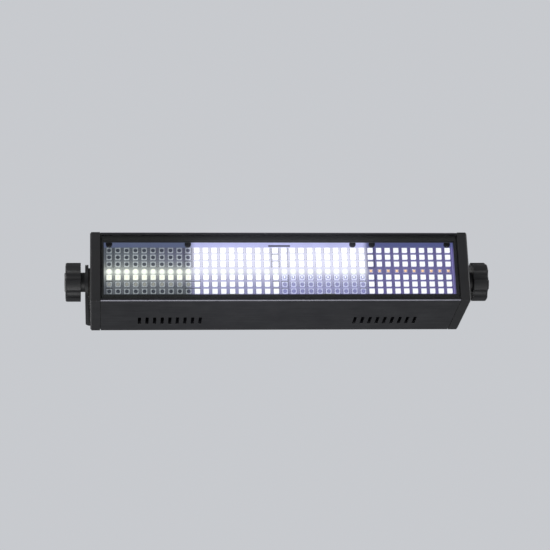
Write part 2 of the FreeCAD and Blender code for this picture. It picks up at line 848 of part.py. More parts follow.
def flange_screw_points(spots):
    return [
        (f"{spot} + {side} * flange_screw_across", f"{side} * flange_screw_up")
        for spot in spots
        for side in SIDES
    ]


def fan_screw_points():
    return [
        (f"{side} * fan_across + {across}", up)
        for side in SIDES
        for across, up in pairs("fan_screw_offset", "fan_screw_offset")
    ]


def lug_screw_points():
    return [(f"-eye_across + {side} * 7", f"{side} * 8.5") for side in SIDES]


def build_rear_panel():
    body = new_body("rear_panel", depth="body_depth")
    outline = ("box", "0", "0", "profile_length", "body_height")
    slab(body, "XZ_Plane", "0", "panel_thick", outline)
    sockets = [("disc", spot, "0", "flange_hole") for spot in POWER_SPOTS + SIGNAL_SPOTS]
    cut(body, "XZ_Plane", "0", "panel_thick", *sockets)
    fans = [("disc", f"{side} * fan_across", "0", "fan_bore") for side in SIDES]
    cut(body, "XZ_Plane", "0", "panel_thick", *fans)
    neck = ("box", "0", "0", "bezel_neck_length + cutout_gap", "bezel_neck_height + cutout_gap")
    cut(body, "XZ_Plane", "0", "panel_thick", neck)
    cut(body, "XZ_Plane", "0", "panel_thick", ("disc", "fuse_across", "6", "fuse_hole"))
    points = panel_screw_points() + flange_screw_points(POWER_SPOTS + SIGNAL_SPOTS) + fan_screw_points()
    points = points + lug_screw_points() + [("fuse_across", "earth_up")]
    cut(body, "XZ_Plane", "0", "panel_thick", *discs(points, "clear_radius"))
    dress(body, "Chamfer", "Size", "0.3", lambda edge: runs_along(edge, Vector(1, 0, 0))
          and all_at(edge, "y", size("panel_thick")) and abs(edge.Vertexes[0].Point.z) > 33)


def build_headed_screws(label, depth, points, length, reach):
    """Pan-head screws whose heads sit on a face at a depth, driven towards the front."""
    body = new_body(label, depth=depth)
    slab(body, "XZ_Plane", "0", "screw_head_high", *discs(points, "screw_head_radius"))
    slab(body, "XZ_Plane", f"-({length})", length, *discs(points, "screw_radius"))
    cut(body, "XZ_Plane", "screw_head_high - 0.9", "1", *[("box", a, u, "3", "0.7") for a, u in points])
    cut(body, "XZ_Plane", "screw_head_high - 0.9", "1", *[("box", a, u, "0.7", "3") for a, u in points])
    if reach:
        slab(body, "XZ_Plane", f"-({reach}) - 2.2", "2.2", *discs(points, "2.7"))


def build_panel_screws():
    build_headed_screws("panel_screws", REAR, panel_screw_points(), "8", None)
    points = flange_screw_points(POWER_SPOTS + SIGNAL_SPOTS)
    build_headed_screws("connector_screws", f"{REAR} + flange_thick", points, "9",
                        "flange_thick + panel_thick")
    reach = "guard_thick + panel_thick + fan_deep"
    build_headed_screws("fan_screws", f"{REAR} + guard_thick", fan_screw_points(), f"{reach} + 3", reach)


def flange_shapes():
    holes = [
        ("disc", f"{side} * flange_screw_across", f"{side} * flange_screw_up", "clear_radius")
        for side in SIDES
    ]
    return [("box", "0", "0", "flange_wide", "flange_tall"), *holes]


def round_flange(body):
    """Round the flange's four corners."""
    dress(body, "Fillet", "Radius", "2.5", lambda edge: runs_along(edge, Vector(0, 1, 0))
          and abs(abs(edge.Vertexes[0].Point.x) - size("flange_wide") / 2) < 0.01)


def build_power_socket(label, across):
    body = new_body(label, across, REAR)
    slab(body, "XZ_Plane", "0", "flange_thick", *flange_shapes())
    round_flange(body)
    slab(body, "XZ_Plane", "-connector_body_deep", "connector_body_deep",
         ("disc", "0", "0", "connector_body"))
    slab(body, "XZ_Plane", "flange_thick", "power_collar_high", ("disc", "0", "0", "power_collar"))
    top = "flange_thick + power_collar_high"
    cut(body, "XZ_Plane", f"{top} - power_cavity_deep", "power_cavity_deep",
        ("disc", "0", "0", "power_cavity"))
    keys = [("box", f"{side} * (power_cavity + 0.6)", "0", "2.4", "4") for side in SIDES]
    cut(body, "XZ_Plane", f"{top} - 8", "8", *keys)
    slab(body, "XZ_Plane", f"{top} - power_cavity_deep", "power_cavity_deep - 3",
         ("disc", "0", "0", "power_core"))
    slot_spots = ((-1, -1), (1, -1), (0, 2.6))
    slots = [("box", f"{turn} * 3", f"{lift}", "1", "3.4") for turn, lift in slot_spots]
    cut(body, "XZ_Plane", f"{top} - 11", "8", *slots)


def contact_points(turn):
    """Three contacts about a socket's axis, as formulas of aliases."""
    return [
        (f"contact_ring * {math.cos(math.radians(angle + turn)):.5f}",
         f"contact_ring * {math.sin(math.radians(angle + turn)):.5f}")
        for angle in (0, 120, 240)
    ]


def build_signal_sockets():
    plug_side = new_body("dmx_in", SIGNAL_SPOTS[0], REAR)
    slab(plug_side, "XZ_Plane", "0", "flange_thick", *flange_shapes())
    round_flange(plug_side)
    slab(plug_side, "XZ_Plane", "-connector_body_deep", "connector_body_deep",
         ("disc", "0", "0", "connector_body"))
    slab(plug_side, "XZ_Plane", "flange_thick", "1", ("disc", "0", "0", "signal_cavity + 1.6"))
    top = "flange_thick + 1"
    cut(plug_side, "XZ_Plane", f"{top} - signal_deep", "signal_deep", ("disc", "0", "0", "signal_cavity"))
    holes = discs(contact_points(-90), "contact_hole")
    cut(plug_side, "XZ_Plane", f"{top} - signal_deep - 4", "4", *holes)
    socket_side = new_body("dmx_out", SIGNAL_SPOTS[1], REAR)
    slab(socket_side, "XZ_Plane", "0", "flange_thick", *flange_shapes())
    round_flange(socket_side)
    slab(socket_side, "XZ_Plane", "-connector_body_deep", "connector_body_deep",
         ("disc", "0", "0", "connector_body"))
    slab(socket_side, "XZ_Plane", "flange_thick", "1", ("disc", "0", "0", "signal_ring_outer + 1.2"))
    groove = [("disc", "0", "0", "signal_ring_outer"), ("disc", "0", "0", "signal_ring_inner")]
    cut(socket_side, "XZ_Plane", f"{top} - signal_deep", "signal_deep", *groove)
    holes = discs(contact_points(90), "contact_hole")
    cut(socket_side, "XZ_Plane", f"{top} - signal_deep", "signal_deep", *holes)
    slot = ("box", "0", "latch_up", "latch_wide + 2 * latch_play", "latch_tall + 2 * latch_play")
    cut(socket_side, "XZ_Plane", "flange_thick + 1 - latch_long", "latch_long + 1", slot)


def build_contacts():
    """Pins of the male socket and tube contacts of the female one."""
    body = new_body("dmx_contacts", depth=REAR)
    pins = [(f"{SIGNAL_SPOTS[0]} + {across}", up) for across, up in contact_points(-90)]
    floor = "flange_thick + 1 - signal_deep"
    slab(body, "XZ_Plane", f"{floor} - 3.9", "signal_deep + 2", *discs(pins, "contact_radius"))
    tubes = [(f"{SIGNAL_SPOTS[1]} + {across}", up) for across, up in contact_points(90)]
    slab(body, "XZ_Plane", floor, "signal_deep - 2", *discs(tubes, "contact_radius"))
    cut(body, "XZ_Plane", f"{floor} + 2", "signal_deep", *discs(tubes, "0.8"))


def build_latch():
    body = new_body("dmx_latch", SIGNAL_SPOTS[1], f"{REAR} + flange_thick + 1", "latch_up")
    shape = ("box", "0", "0", "latch_wide", "latch_tall")
    slab(body, "XZ_Plane", "latch_play + 1.3 - latch_long", "latch_long + latch_proud - 1.3", shape)
    round_rear_face(body, "0.6")


def build_fuse():
    holder = new_body("fuse_holder", "fuse_across", REAR, "6")
    slab(holder, "XZ_Plane", "0", "fuse_flange_thick", ("disc", "0", "0", "fuse_flange"))
    slab(holder, "XZ_Plane", "-fuse_body_deep", "fuse_body_deep", ("disc", "0", "0", "fuse_body"))
    cut(holder, "XZ_Plane", "1.5 - fuse_body_deep", "fuse_body_deep + 2", ("disc", "0", "0", "fuse_bore"))
    cap = new_body("fuse_cap", "fuse_across", f"{REAR} + fuse_flange_thick + 0.05", "6")
    slab(cap, "XZ_Plane", "0", "fuse_knob_high", ("disc", "0", "0", "fuse_knob"))
    slab(cap, "XZ_Plane", "3 - fuse_body_deep", "fuse_body_deep - 3", ("disc", "0", "0", "fuse_stem"))
    cut(cap, "XZ_Plane", "fuse_knob_high - 1.2", "1.3", ("box", "0", "0", "9", "1.4"))
    flute = cut(cap, "XZ_Plane", "1.5", "fuse_knob_high", ("disc", "fuse_knob + 0.5", "0", "1"))
    ring_of(cap, flute, "Y_Axis", "12")


# -------------------------------------------------------------------------------------------------- fans


def build_fan_frames():
    """Two square frames, each with a bore, a motor base and three struts on the inner side."""
    body = new_body("fan_frames", depth="body_depth - fan_deep")
    for side in SIDES:
        middle = f"{side} * fan_across"
        square = ("box", middle, "0", "fan_side", "fan_side")
        slab(body, "XZ_Plane", "0", "fan_deep", square, ("disc", middle, "0", "fan_bore"))
        slab(body, "XZ_Plane", "0", "fan_base_thick", ("disc", middle, "0", "fan_base"))
        strut = "fan_bore - fan_base + 2"
        reach = "(fan_bore + fan_base) / 2"
        struts = [
            ("box", f"{middle} + {reach}", "0", strut, "fan_strut_wide"),
            ("box", f"{middle} - {reach}", "0", strut, "fan_strut_wide"),
            ("box", middle, reach, "fan_strut_wide", strut),
        ]
        for shape in struts:
            slab(body, "XZ_Plane", "0", "fan_base_thick", shape)
        cut(body, "XZ_Plane", "0", "fan_base_thick", ("disc", middle, "0", "fan_axle_bore"))
    cut(body, "XZ_Plane", "0", "fan_deep", *discs(fan_screw_points(), "clear_radius"))


def fan_rotor():
    """A hub with pitched blades about the Y axis, its shaft end towards -Y."""
    hub = Part.makeCylinder(size("fan_hub"), size("fan_hub_deep"), Vector(0, 0, 0), Vector(0, 1, 0))
    tip = Part.makeCylinder(size("fan_blade_tip"), size("fan_hub_deep"), Vector(0, 0, 0), Vector(0, 1, 0))
    count = int(size("fan_blade_count"))
    blades = []
    for number in range(count):
        length = size("fan_blade_tip")
        blade = Part.makeBox(length, 1.0, 12.0, Vector(0, -0.5, -6.0))
        blade.Placement = FreeCAD.Placement(Vector(0, 0, 0), Rotation(Vector(1, 0, 0), 38.0))
        blade.translate(Vector(0, size("fan_hub_deep") / 2, 0))
        blade.rotate(Vector(0, 0, 0), Vector(0, 1, 0), 360.0 * number / count)
        blades.append(blade.common(tip))
    shaft = Part.makeCylinder(size("fan_axle"), 1.6, Vector(0, -1.6, 0), Vector(0, 1, 0))
    return hub.multiFuse(blades + [shaft]).removeSplitter()


def build_fan_rotors():
    depth = "body_depth - fan_deep + fan_base_thick + 0.3"
    shape_node("fan_rotor_left", fan_rotor(), "-fan_across", depth)
    shape_node("fan_rotor_right", fan_rotor(), "fan_across", depth)


def build_fan_guards():
    """Two stamped guards: three rings and a middle disc on four diagonal spokes, with screw ears."""
    body = new_body("fan_guards", depth=REAR)
    for side in SIDES:
        middle = f"{side} * fan_across"
        for ring in range(3):
            outer = f"fan_bore + 0.6 - {ring} * guard_ring_pitch"
            shapes = [("disc", middle, "0", outer), ("disc", middle, "0", f"{outer} - guard_ring_wide")]
            slab(body, "XZ_Plane", "0", "guard_thick", *shapes)
        slab(body, "XZ_Plane", "0", "guard_thick", ("disc", middle, "0", "5.4"))
        across = ("box", middle, "0", "2 * fan_bore", "guard_ring_wide")
        upright = ("box", middle, "0", "guard_ring_wide", "2 * fan_bore")
        slab(body, "XZ_Plane", "0", "guard_thick", across)
        slab(body, "XZ_Plane", "0", "guard_thick", upright)
    ears = discs(fan_screw_points(), "guard_ear")
    for ear in ears:
        slab(body, "XZ_Plane", "0", "guard_thick", ear)
    cut(body, "XZ_Plane", "0", "guard_thick", *discs(fan_screw_points(), "clear_radius"))


# ---------------------------------------------------------------------------------- display and buttons


def button_across(number):
    return f"button_pitch * {number - 1.5}"


def build_display():
    bezel = new_body("display_bezel", depth=REAR)
    slab(bezel, "XZ_Plane", "0", "bezel_thick", ("box", "0", "0", "bezel_length", "bezel_height"))
    dress(bezel, "Chamfer", "Size", "0.7", lambda edge: all_at(edge, "y", size("bezel_thick")))
    slab(bezel, "XZ_Plane", "-bezel_neck_deep", "bezel_neck_deep",
         ("box", "0", "0", "bezel_neck_length", "bezel_neck_height"))
    seat = ("box", "0", "display_up", "display_long + 0.1", "display_tall + 0.1")
    cut(bezel, "XZ_Plane", "bezel_thick - display_glass", "display_glass", seat)
    sight = ("box", "0", "display_up", "display_sight_long", "display_sight_tall")
    cut(bezel, "XZ_Plane", "-bezel_neck_deep", "bezel_neck_deep + bezel_thick", sight)
    bores = [("disc", button_across(number), "button_up", "button_bore") for number in range(4)]
    cut(bezel, "XZ_Plane", "-bezel_neck_deep", "bezel_neck_deep + bezel_thick", *bores)
    wells = [("disc", button_across(number), "button_up", "button_flange_bore") for number in range(4)]
    cut(bezel, "XZ_Plane", "-bezel_neck_deep", "bezel_neck_deep - 1", *wells)
    glass = new_body("display_window", depth=f"{REAR} + bezel_thick - display_glass", up="display_up")
    slab(glass, "XZ_Plane", "0", "display_glass", ("box", "0", "0", "display_long", "display_tall"))
    module = new_body("display_module", depth="display_board_depth")
    slab(module, "XZ_Plane", "0", "1.6",
         ("box", "0", "0", "display_board_length", "display_board_height"))
    slab(module, "XZ_Plane", "1.6", "7", ("box", "0", "display_up", "34", "13"))
    switches = [("box", button_across(number), "button_up", "6", "6") for number in range(4)]
    slab(module, "XZ_Plane", "1.6", "3.5", *switches)
    nubs = [("disc", button_across(number), "button_up", "1.7") for number in range(4)]
    slab(module, "XZ_Plane", "5.1", "1.4", *nubs)


def build_buttons():
    """Each button: a cap through the bezel, a flange behind its shoulder and a stem short of its switch."""
    shoulder = f"{REAR} - 1"
    for number, label in enumerate(("button_enter", "button_down", "button_up", "button_menu")):
        body = new_body(label, button_across(number), shoulder, "button_up")
        rise = "1 + bezel_thick + button_proud"
        slab(body, "XZ_Plane", "-0.05 - button_flange_thick", "button_flange_thick",
             ("disc", "0", "0", "button_flange"))
        slab(body, "XZ_Plane", "-0.05", f"{rise} + 0.05", ("disc", "0", "0", "button_radius"))
        round_rear_face(body, "0.5")
        switch_top = "display_board_depth + 6.5"
        stem = f"{shoulder} - ({switch_top}) - 1.05 - button_travel - 0.1"
        slab(body, "XZ_Plane", f"-1.05 - ({stem})", stem, ("disc", "0", "0", "button_stem"))


# ------------------------------------------------------------------------------ safety lug and earth stud


def build_lug():
    body = new_body("safety_lug", "-eye_across", REAR)
    holes = [("disc", f"{side} * 7", f"{side} * 8.5", "clear_radius") for side in SIDES]
    base = ("box", "0", "0", "lug_base_wide", "lug_base_tall")
    slab(body, "XZ_Plane", "0", "lug_base_thick", base, *holes)
    plate = ("box", "0", "lug_reach / 2", "2 * lug_radius", "lug_reach")
    slab(body, "XY_Plane", "-lug_thick / 2", "lug_thick", plate)
    slab(body, "XY_Plane", "-lug_thick / 2", "lug_thick", ("disc", "0", "lug_reach", "lug_radius"))
    cut(body, "XY_Plane", "-lug_thick / 2", "lug_thick", ("disc", "0", "lug_reach", "lug_bore"))
    build_headed_screws("lug_screws", f"{REAR} + lug_base_thick", lug_screw_points(), "9",
                        "lug_base_thick + panel_thick")


def build_earth_stud():
    body = new_body("earth_stud", "fuse_across", REAR, "earth_up")
    slab(body, "XZ_Plane", "0", "0.8", ("disc", "0", "0", "4.2"))
    slab(body, "XZ_Plane", "0.8", "2.4", ("disc", "0", "0", "2.9"))
    slab(body, "XZ_Plane", "3.2", "3", ("disc", "0", "0", "1.5"))
    slab(body, "XZ_Plane", "-7", "7", ("disc", "0", "0", "1.5"))
    slab(body, "XZ_Plane", "-panel_thick - 2.4", "2.4", ("disc", "0", "0", "2.9"))


# -------------------------------------------------------------------------------- bracket and lock knobs

ARM_INNER = "profile_length / 2 + seal_thick + cap_thick + washer_thick"
ARM_OUTER = f"{ARM_INNER} + bracket_thick"


def build_bracket():
    body = new_body("bracket", depth="pivot_depth")
    front = "-bracket_width / 2"
    whole_deep = "bracket_reach + bracket_width / 2"
    whole = ("box", "0", f"{front} + ({whole_deep}) / 2", f"2 * ({ARM_OUTER})", whole_deep)
    slab(body, "XY_Plane", "-bracket_width / 2", "bracket_width", whole)
    inner_deep = f"{whole_deep} - bracket_thick + 2"
    inner = ("box", "0", f"{front} - 2 + ({inner_deep}) / 2", f"2 * ({ARM_INNER})", inner_deep)
    cut(body, "XY_Plane", "-bracket_width / 2", "bracket_width", inner)
    reach = size("bracket_reach")
    thick = size("bracket_thick")
    upright = Vector(0, 0, 1)
    dress(body, "Fillet", "Radius", "bracket_bend",
          lambda edge: runs_along(edge, upright) and all_at(edge, "y", reach))
    dress(body, "Fillet", "Radius", "bracket_bend - bracket_thick",
          lambda edge: runs_along(edge, upright) and all_at(edge, "y", reach - thick))
    arm_end = -size("bracket_width") / 2
    dress(body, "Fillet", "Radius", "bracket_end_radius",
          lambda edge: runs_along(edge, Vector(1, 0, 0)) and all_at(edge, "y", arm_end))
    bore = ("disc", "0", "0", "bracket_bore")
    cut(body, "YZ_Plane", f"-({ARM_OUTER}) - 1", f"2 * ({ARM_OUTER}) + 2", bore)
    strap = "bracket_reach - bracket_thick - 1"
    cut(body, "XZ_Plane", strap, "bracket_thick + 2", ("disc", "0", "0", "bolt_bore"))
    for side in SIDES:
        middle = f"{side} * slot_across"
        half = "(slot_long - slot_wide) / 2"
        straight = ("box", middle, "0", "slot_long - slot_wide", "slot_wide")
        cut(body, "XZ_Plane", strap, "bracket_thick + 2", straight)
        for end in SIDES:
            rounding = ("disc", f"{middle} + {end} * {half}", "0", "slot_wide / 2")
            cut(body, "XZ_Plane", strap, "bracket_thick + 2", rounding)


def build_washers():
    body = new_body("friction_washers", depth="pivot_depth")
    inner = f"{ARM_INNER} - washer_thick"
    for side in SIDES:
        at = inner if side > 0 else f"-({ARM_INNER})"
        ring = [("disc", "0", "0", "washer_radius"), ("disc", "0", "0", "bracket_bore")]
        slab(body, "YZ_Plane", at, "washer_thick", *ring)


def build_knob(label, side):
    start = f"{side} * ({ARM_OUTER} + knob_gap)"
    body = new_body(label, start, "pivot_depth")
    hub = "0" if side > 0 else "-knob_hub_thick"
    slab(body, "YZ_Plane", hub, "knob_hub_thick", ("disc", "0", "0", "knob_hub_radius"))
    head = "knob_hub_thick" if side > 0 else "-knob_hub_thick - knob_thick"
    slab(body, "YZ_Plane", head, "knob_thick", ("disc", "0", "0", "knob_radius"))
    groove = cut(body, "YZ_Plane", head, "knob_thick", ("disc", "knob_groove_ring", "0", "knob_groove"))
    ring_of(body, groove, "X_Axis", "6")
    face = side * (size("knob_hub_thick") + size("knob_thick"))
    dress(body, "Fillet", "Radius", "1.6", lambda edge: all_at(edge, "x", face))
    bore = "0" if side > 0 else "-stud_in_knob - 0.1"
    cut(body, "YZ_Plane", bore, "stud_in_knob + 0.1", ("disc", "0", "0", "knob_stud_bore"))
    stud = new_body(f"{label}_stud", start, "pivot_depth")
    inside = "washer_thick + bracket_thick + knob_gap + stud_in_insert"
    whole = f"{inside} + stud_in_knob"
    first = f"-({inside})" if side > 0 else "-stud_in_knob"
    slab(stud, "YZ_Plane", first, whole, ("disc", "0", "0", "stud_radius"))


build_housing()
build_end_cap("end_cap_left", -1)
build_end_cap("end_cap_right", 1)
build_cap_seals()
build_cap_screws()
build_pivot_inserts()
build_window()
build_led_board()
build_board_screws()
build_board_items()
build_rgb_packages()
build_lenses()
build_tray()
build_components()
build_harness()
build_rear_panel()
build_panel_screws()
build_power_socket("power_in", "power_outer")
build_power_socket("power_out", "power_inner")
build_signal_sockets()
build_contacts()
build_latch()
build_fuse()
build_fan_frames()
build_fan_rotors()
build_fan_guards()
build_display()
build_buttons()
build_lug()
build_earth_stud()
build_bracket()
build_washers()
build_knob("knob_left", -1)
build_knob("knob_right", 1)

doc.recompute()
for item in doc.Objects:
    if "Invalid" in item.State or "Error" in item.State:
        raise RuntimeError(f"{item.Label} did not compute")
os.makedirs(PARTS_FOLDER, exist_ok=True)
for node in nodes:
    if node.Shape.isNull() or not node.Shape.isValid():
        raise RuntimeError(f"{node.Label} has no valid shape")
    node.Shape.exportStep(os.path.join(PARTS_FOLDER, f"{node.Label}.step"))
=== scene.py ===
import json
import math

import bmesh
import bpy
from mathutils import Matrix, Vector


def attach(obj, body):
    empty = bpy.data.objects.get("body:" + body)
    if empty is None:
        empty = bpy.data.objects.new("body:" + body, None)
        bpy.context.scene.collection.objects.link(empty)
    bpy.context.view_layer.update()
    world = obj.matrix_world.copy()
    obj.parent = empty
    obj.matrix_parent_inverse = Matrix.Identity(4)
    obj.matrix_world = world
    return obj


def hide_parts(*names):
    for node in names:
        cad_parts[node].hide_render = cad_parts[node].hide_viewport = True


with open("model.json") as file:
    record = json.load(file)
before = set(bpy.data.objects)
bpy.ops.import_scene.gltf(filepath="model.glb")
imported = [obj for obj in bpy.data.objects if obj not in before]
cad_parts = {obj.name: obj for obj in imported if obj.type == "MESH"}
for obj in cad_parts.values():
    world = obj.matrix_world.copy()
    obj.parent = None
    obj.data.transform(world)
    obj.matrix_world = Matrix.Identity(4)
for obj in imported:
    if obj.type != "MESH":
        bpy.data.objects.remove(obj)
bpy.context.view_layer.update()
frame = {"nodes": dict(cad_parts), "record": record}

MM = 0.001
SIDES = (-1, 1)

# Distances in millimetres, in the row frame.
MID_Z = 33.45
BOARD_Y = -44.5
PIVOT_Y = -17.0
COLUMNS = 40
COLUMN_PITCH = 8.0
ROWS_UP = (20.07, 13.27, 6.47, 0.0, -6.47, -13.27, -20.07)
SECTION_COLUMNS = 10
ROW_STEP = 6.8
EDGE_RADIUS = 0.35
GRAIN_DEPTH = 0.1

# Where the light thrown by the LEDs changes, each as the start and end of a soft step.
LEFT_SECTION_EDGE = (-86.0, -76.0)
RIGHT_SECTION_EDGE = (77.0, 83.0)
MARGIN_EDGE = (22.6, 24.0)
POOL_EDGE = (2.1, 3.5)

SHARP_DEGREES = 32.0
GLASS_IOR = 1.45
DUST_COLOUR = (0.34, 0.33, 0.31)
# Lighter colour of rounded edges: wear, and also a painted highlight along the edges.
WEAR_AND_SHEEN_COLOUR = (0.42, 0.42, 0.43)
# Front chamfer: a lighter colour that is partly bare metal and partly a painted highlight, and a painted
# lavender glow for the LEDs' light caught on it.
CHAMFER_COLOUR = (0.16, 0.16, 0.18)
CHAMFER_GLOW = (0.62, 0.60, 0.85)
THROWN = {
    "left": (0.075, 0.085, 0.105),
    "left near the middle": (0.100, 0.098, 0.170),
    "left low": (0.070, 0.076, 0.092),
    "band": (0.50, 0.52, 0.47),
    "middle low": (0.26, 0.25, 0.47),
    "middle high": (0.76, 0.74, 0.92),
    "right": (0.105, 0.085, 0.28),
    "left margin": (0.085, 0.105, 0.20),
    "middle margin": (0.54, 0.54, 0.92),
    "right margin": (0.075, 0.085, 0.25),
    "pool": (0.93, 0.95, 0.88),
}


# ------------------------------------------------------------------------------------------ materials


class Nodes:
    """A short way to write a material's node tree."""

    def __init__(self, name):
        self.material = bpy.data.materials.new(name)
        self.material.use_nodes = True
        self.tree = self.material.node_tree
        self.shader = self.tree.nodes["Principled BSDF"]
        self.output = self.tree.nodes["Material Output"]

    def add(self, kind, inputs=None, **settings):
        node = self.tree.nodes.new(kind)
        for key, value in settings.items():
            setattr(node, key, value)
        for key, value in (inputs or {}).items():
            self.put(node, key, value)
        return node

    def put(self, node, key, value):
        if isinstance(value, bpy.types.NodeSocket):
            self.tree.links.new(value, node.inputs[key])
        else:
            node.inputs[key].default_value = value

    def coords(self, scale=(1, 1, 1)):
        place = self.add("ShaderNodeTexCoord").outputs["Object"]
        return self.add("ShaderNodeMapping", {"Vector": place, "Scale": scale}).outputs[0]

    def noise(self, scale, detail=4.0, stretch=(1, 1, 1), rough=0.55):
        inputs = {"Vector": self.coords(stretch), "Scale": scale, "Detail": detail, "Roughness": rough}
        return self.add("ShaderNodeTexNoise", inputs).outputs[0]

    def ramp(self, value, low, high, start=0.35, end=0.65):
        inputs = {"Value": value, "From Min": start, "From Max": end, "To Min": low, "To Max": high}
        return self.add("ShaderNodeMapRange", inputs).outputs[0]

    def mix(self, factor, first, second):
        node = self.add("ShaderNodeMix", data_type="RGBA")
        self.put(node, 0, factor)
        self.put(node, 6, first)
        self.put(node, 7, second)
        return node.outputs[2]

    def math(self, operation, *values):
        node = self.add("ShaderNodeMath", operation=operation)
        for index, value in enumerate(values):
            self.put(node, index, value)
        return node.outputs[0]

    def bump(self, height, strength, normal=None):
        inputs = {"Height": height, "Strength": strength, "Distance": GRAIN_DEPTH * MM}
        if normal is not None:
            inputs["Normal"] = normal
        return self.add("ShaderNodeBump", inputs).outputs[0]


def rgba(colour, gain=1.0):
    return (colour[0] * gain, colour[1] * gain, colour[2] * gain, 1.0)


def surface(name, colour, rough, metal=0.0, grain=900.0, bump=0.15, spread=0.18, streak=None, dust=0.0,
            coat=0.0, edge=0.0, shine=0.5, painted_chamfer_glow=0.0, thrown=0.0, lift=0.0):
    """A surface with uneven colour and gloss, fine grain, optional streaks along X, dust, worn edges that
    also carry a painted highlight, a front chamfer with a lighter colour, partly bare metal and partly
    painted highlight, and a painted glow of the LEDs' light caught on it, and a share of the light the LEDs
    throw, lifted in the middle."""
    n = Nodes(name)
    broad = n.noise(35.0, 5.0)
    fine = n.noise(grain, 3.0)
    tone = n.math("ADD", n.math("MULTIPLY", broad, 0.6), n.math("MULTIPLY", fine, 0.4))
    base = n.mix(n.ramp(tone, 0.0, 1.0), rgba(colour, 1 - spread), rgba(colour, 1 + spread))
    gloss = n.ramp(n.math("ADD", n.math("MULTIPLY", broad, 0.7), n.math("MULTIPLY", fine, 0.3)),
                   max(rough - 0.08, 0.02), min(rough + 0.1, 1.0))
    height = fine
    if streak:
        lines = n.noise(streak, 2.0, (0.02, 1, 1), 0.7)
        height = n.math("ADD", n.math("MULTIPLY", lines, 0.8), n.math("MULTIPLY", fine, 0.2))
        gloss = n.math("ADD", gloss, n.ramp(lines, -0.06, 0.06))
    if dust:
        geometry = n.add("ShaderNodeNewGeometry")
        up = n.add("ShaderNodeSeparateXYZ", {"Vector": geometry.outputs["Normal"]}).outputs[2]
        settled = n.math("MULTIPLY", n.ramp(up, 0.0, dust, 0.2, 1.0), n.ramp(n.noise(160.0, 6.0), 0.1, 1.0))
        base = n.mix(settled, base, rgba(DUST_COLOUR))
        gloss = n.math("ADD", gloss, n.math("MULTIPLY", settled, 0.4))
    rounded = None
    # Rounded edges turn lighter: wear, and also a painted highlight along every edge.
    if edge:
        bevel = n.add("ShaderNodeBevel", {"Radius": EDGE_RADIUS * MM}, samples=4)
        rounded = bevel.outputs[0]
        straight = n.add("ShaderNodeNewGeometry").outputs["Normal"]
        turn = n.add("ShaderNodeVectorMath", {0: rounded, 1: straight}, operation="DOT_PRODUCT")
        bend = n.ramp(turn.outputs["Value"], edge, 0.0, 0.72, 0.97)
        wear_and_sheen = n.math("MULTIPLY", bend, n.ramp(n.noise(240.0, 5.0), 0.2, 1.0))
        base = n.mix(wear_and_sheen, base, rgba(WEAR_AND_SHEEN_COLOUR))
    # Front chamfers: a lighter colour, partly bare metal and partly painted highlight, and a painted glow
    # for the LEDs' light caught on them.
    if painted_chamfer_glow:
        flat = n.add("ShaderNodeNewGeometry").outputs["True Normal"]
        facing = n.add("ShaderNodeSeparateXYZ", {"Vector": flat})
        ahead = n.ramp(facing.outputs[1], 1.0, 0.0, -0.45, -0.3)
        level = n.ramp(n.math("ABSOLUTE", facing.outputs[2]), 0.0, 1.0, 0.3, 0.45)
        upright = n.ramp(n.math("ABSOLUTE", facing.outputs[0]), 0.0, 0.3, 0.3, 0.45)
        chamfer = n.math("MULTIPLY", ahead, n.math("ADD", level, upright))
        base = n.mix(chamfer, base, rgba(CHAMFER_COLOUR))
        n.put(n.shader, "Emission Color", rgba(CHAMFER_GLOW))
        n.put(n.shader, "Emission Strength", n.math("MULTIPLY", chamfer, painted_chamfer_glow))
    if thrown:
        field, _, uneven, middle = light_field(n)
        gain = n.math("MULTIPLY_ADD", middle, lift * thrown, thrown)
        n.put(n.shader, "Emission Color", field)
        n.put(n.shader, "Emission Strength", n.math("MULTIPLY", uneven, gain))
    n.put(n.shader, "Base Color", base)
    n.put(n.shader, "Roughness", gloss)
    n.put(n.shader, "Metallic", metal)
    n.put(n.shader, "Coat Weight", coat)
    n.put(n.shader, "Specular IOR Level", shine)
    n.put(n.shader, "Normal", n.bump(height, bump, rounded))
    return n.material


def clear(name, tint, shine=1.0, rough=0.02):
    """Clear material: light passes straight through, and only outer faces shine, most at grazing angles."""
    n = Nodes(name)
    smudge = n.ramp(n.noise(28.0, 6.0), rough, rough + 0.06, 0.4, 0.75)
    through = n.add("ShaderNodeBsdfTransparent", {"Color": rgba(tint)})
    shiny = n.add("ShaderNodeBsdfGlossy", {"Color": (1, 1, 1, 1), "Roughness": smudge})
    fresnel = n.add("ShaderNodeFresnel", {"IOR": GLASS_IOR})
    outer = n.math("SUBTRACT", 1.0, n.add("ShaderNodeNewGeometry").outputs["Backfacing"])
    share = n.math("MULTIPLY", n.math("MULTIPLY", fresnel.outputs[0], shine), outer)
    both = n.add("ShaderNodeMixShader", {0: share, 1: through.outputs[0], 2: shiny.outputs[0]})
    n.tree.links.new(both.outputs[0], n.output.inputs["Surface"])
    return n.material


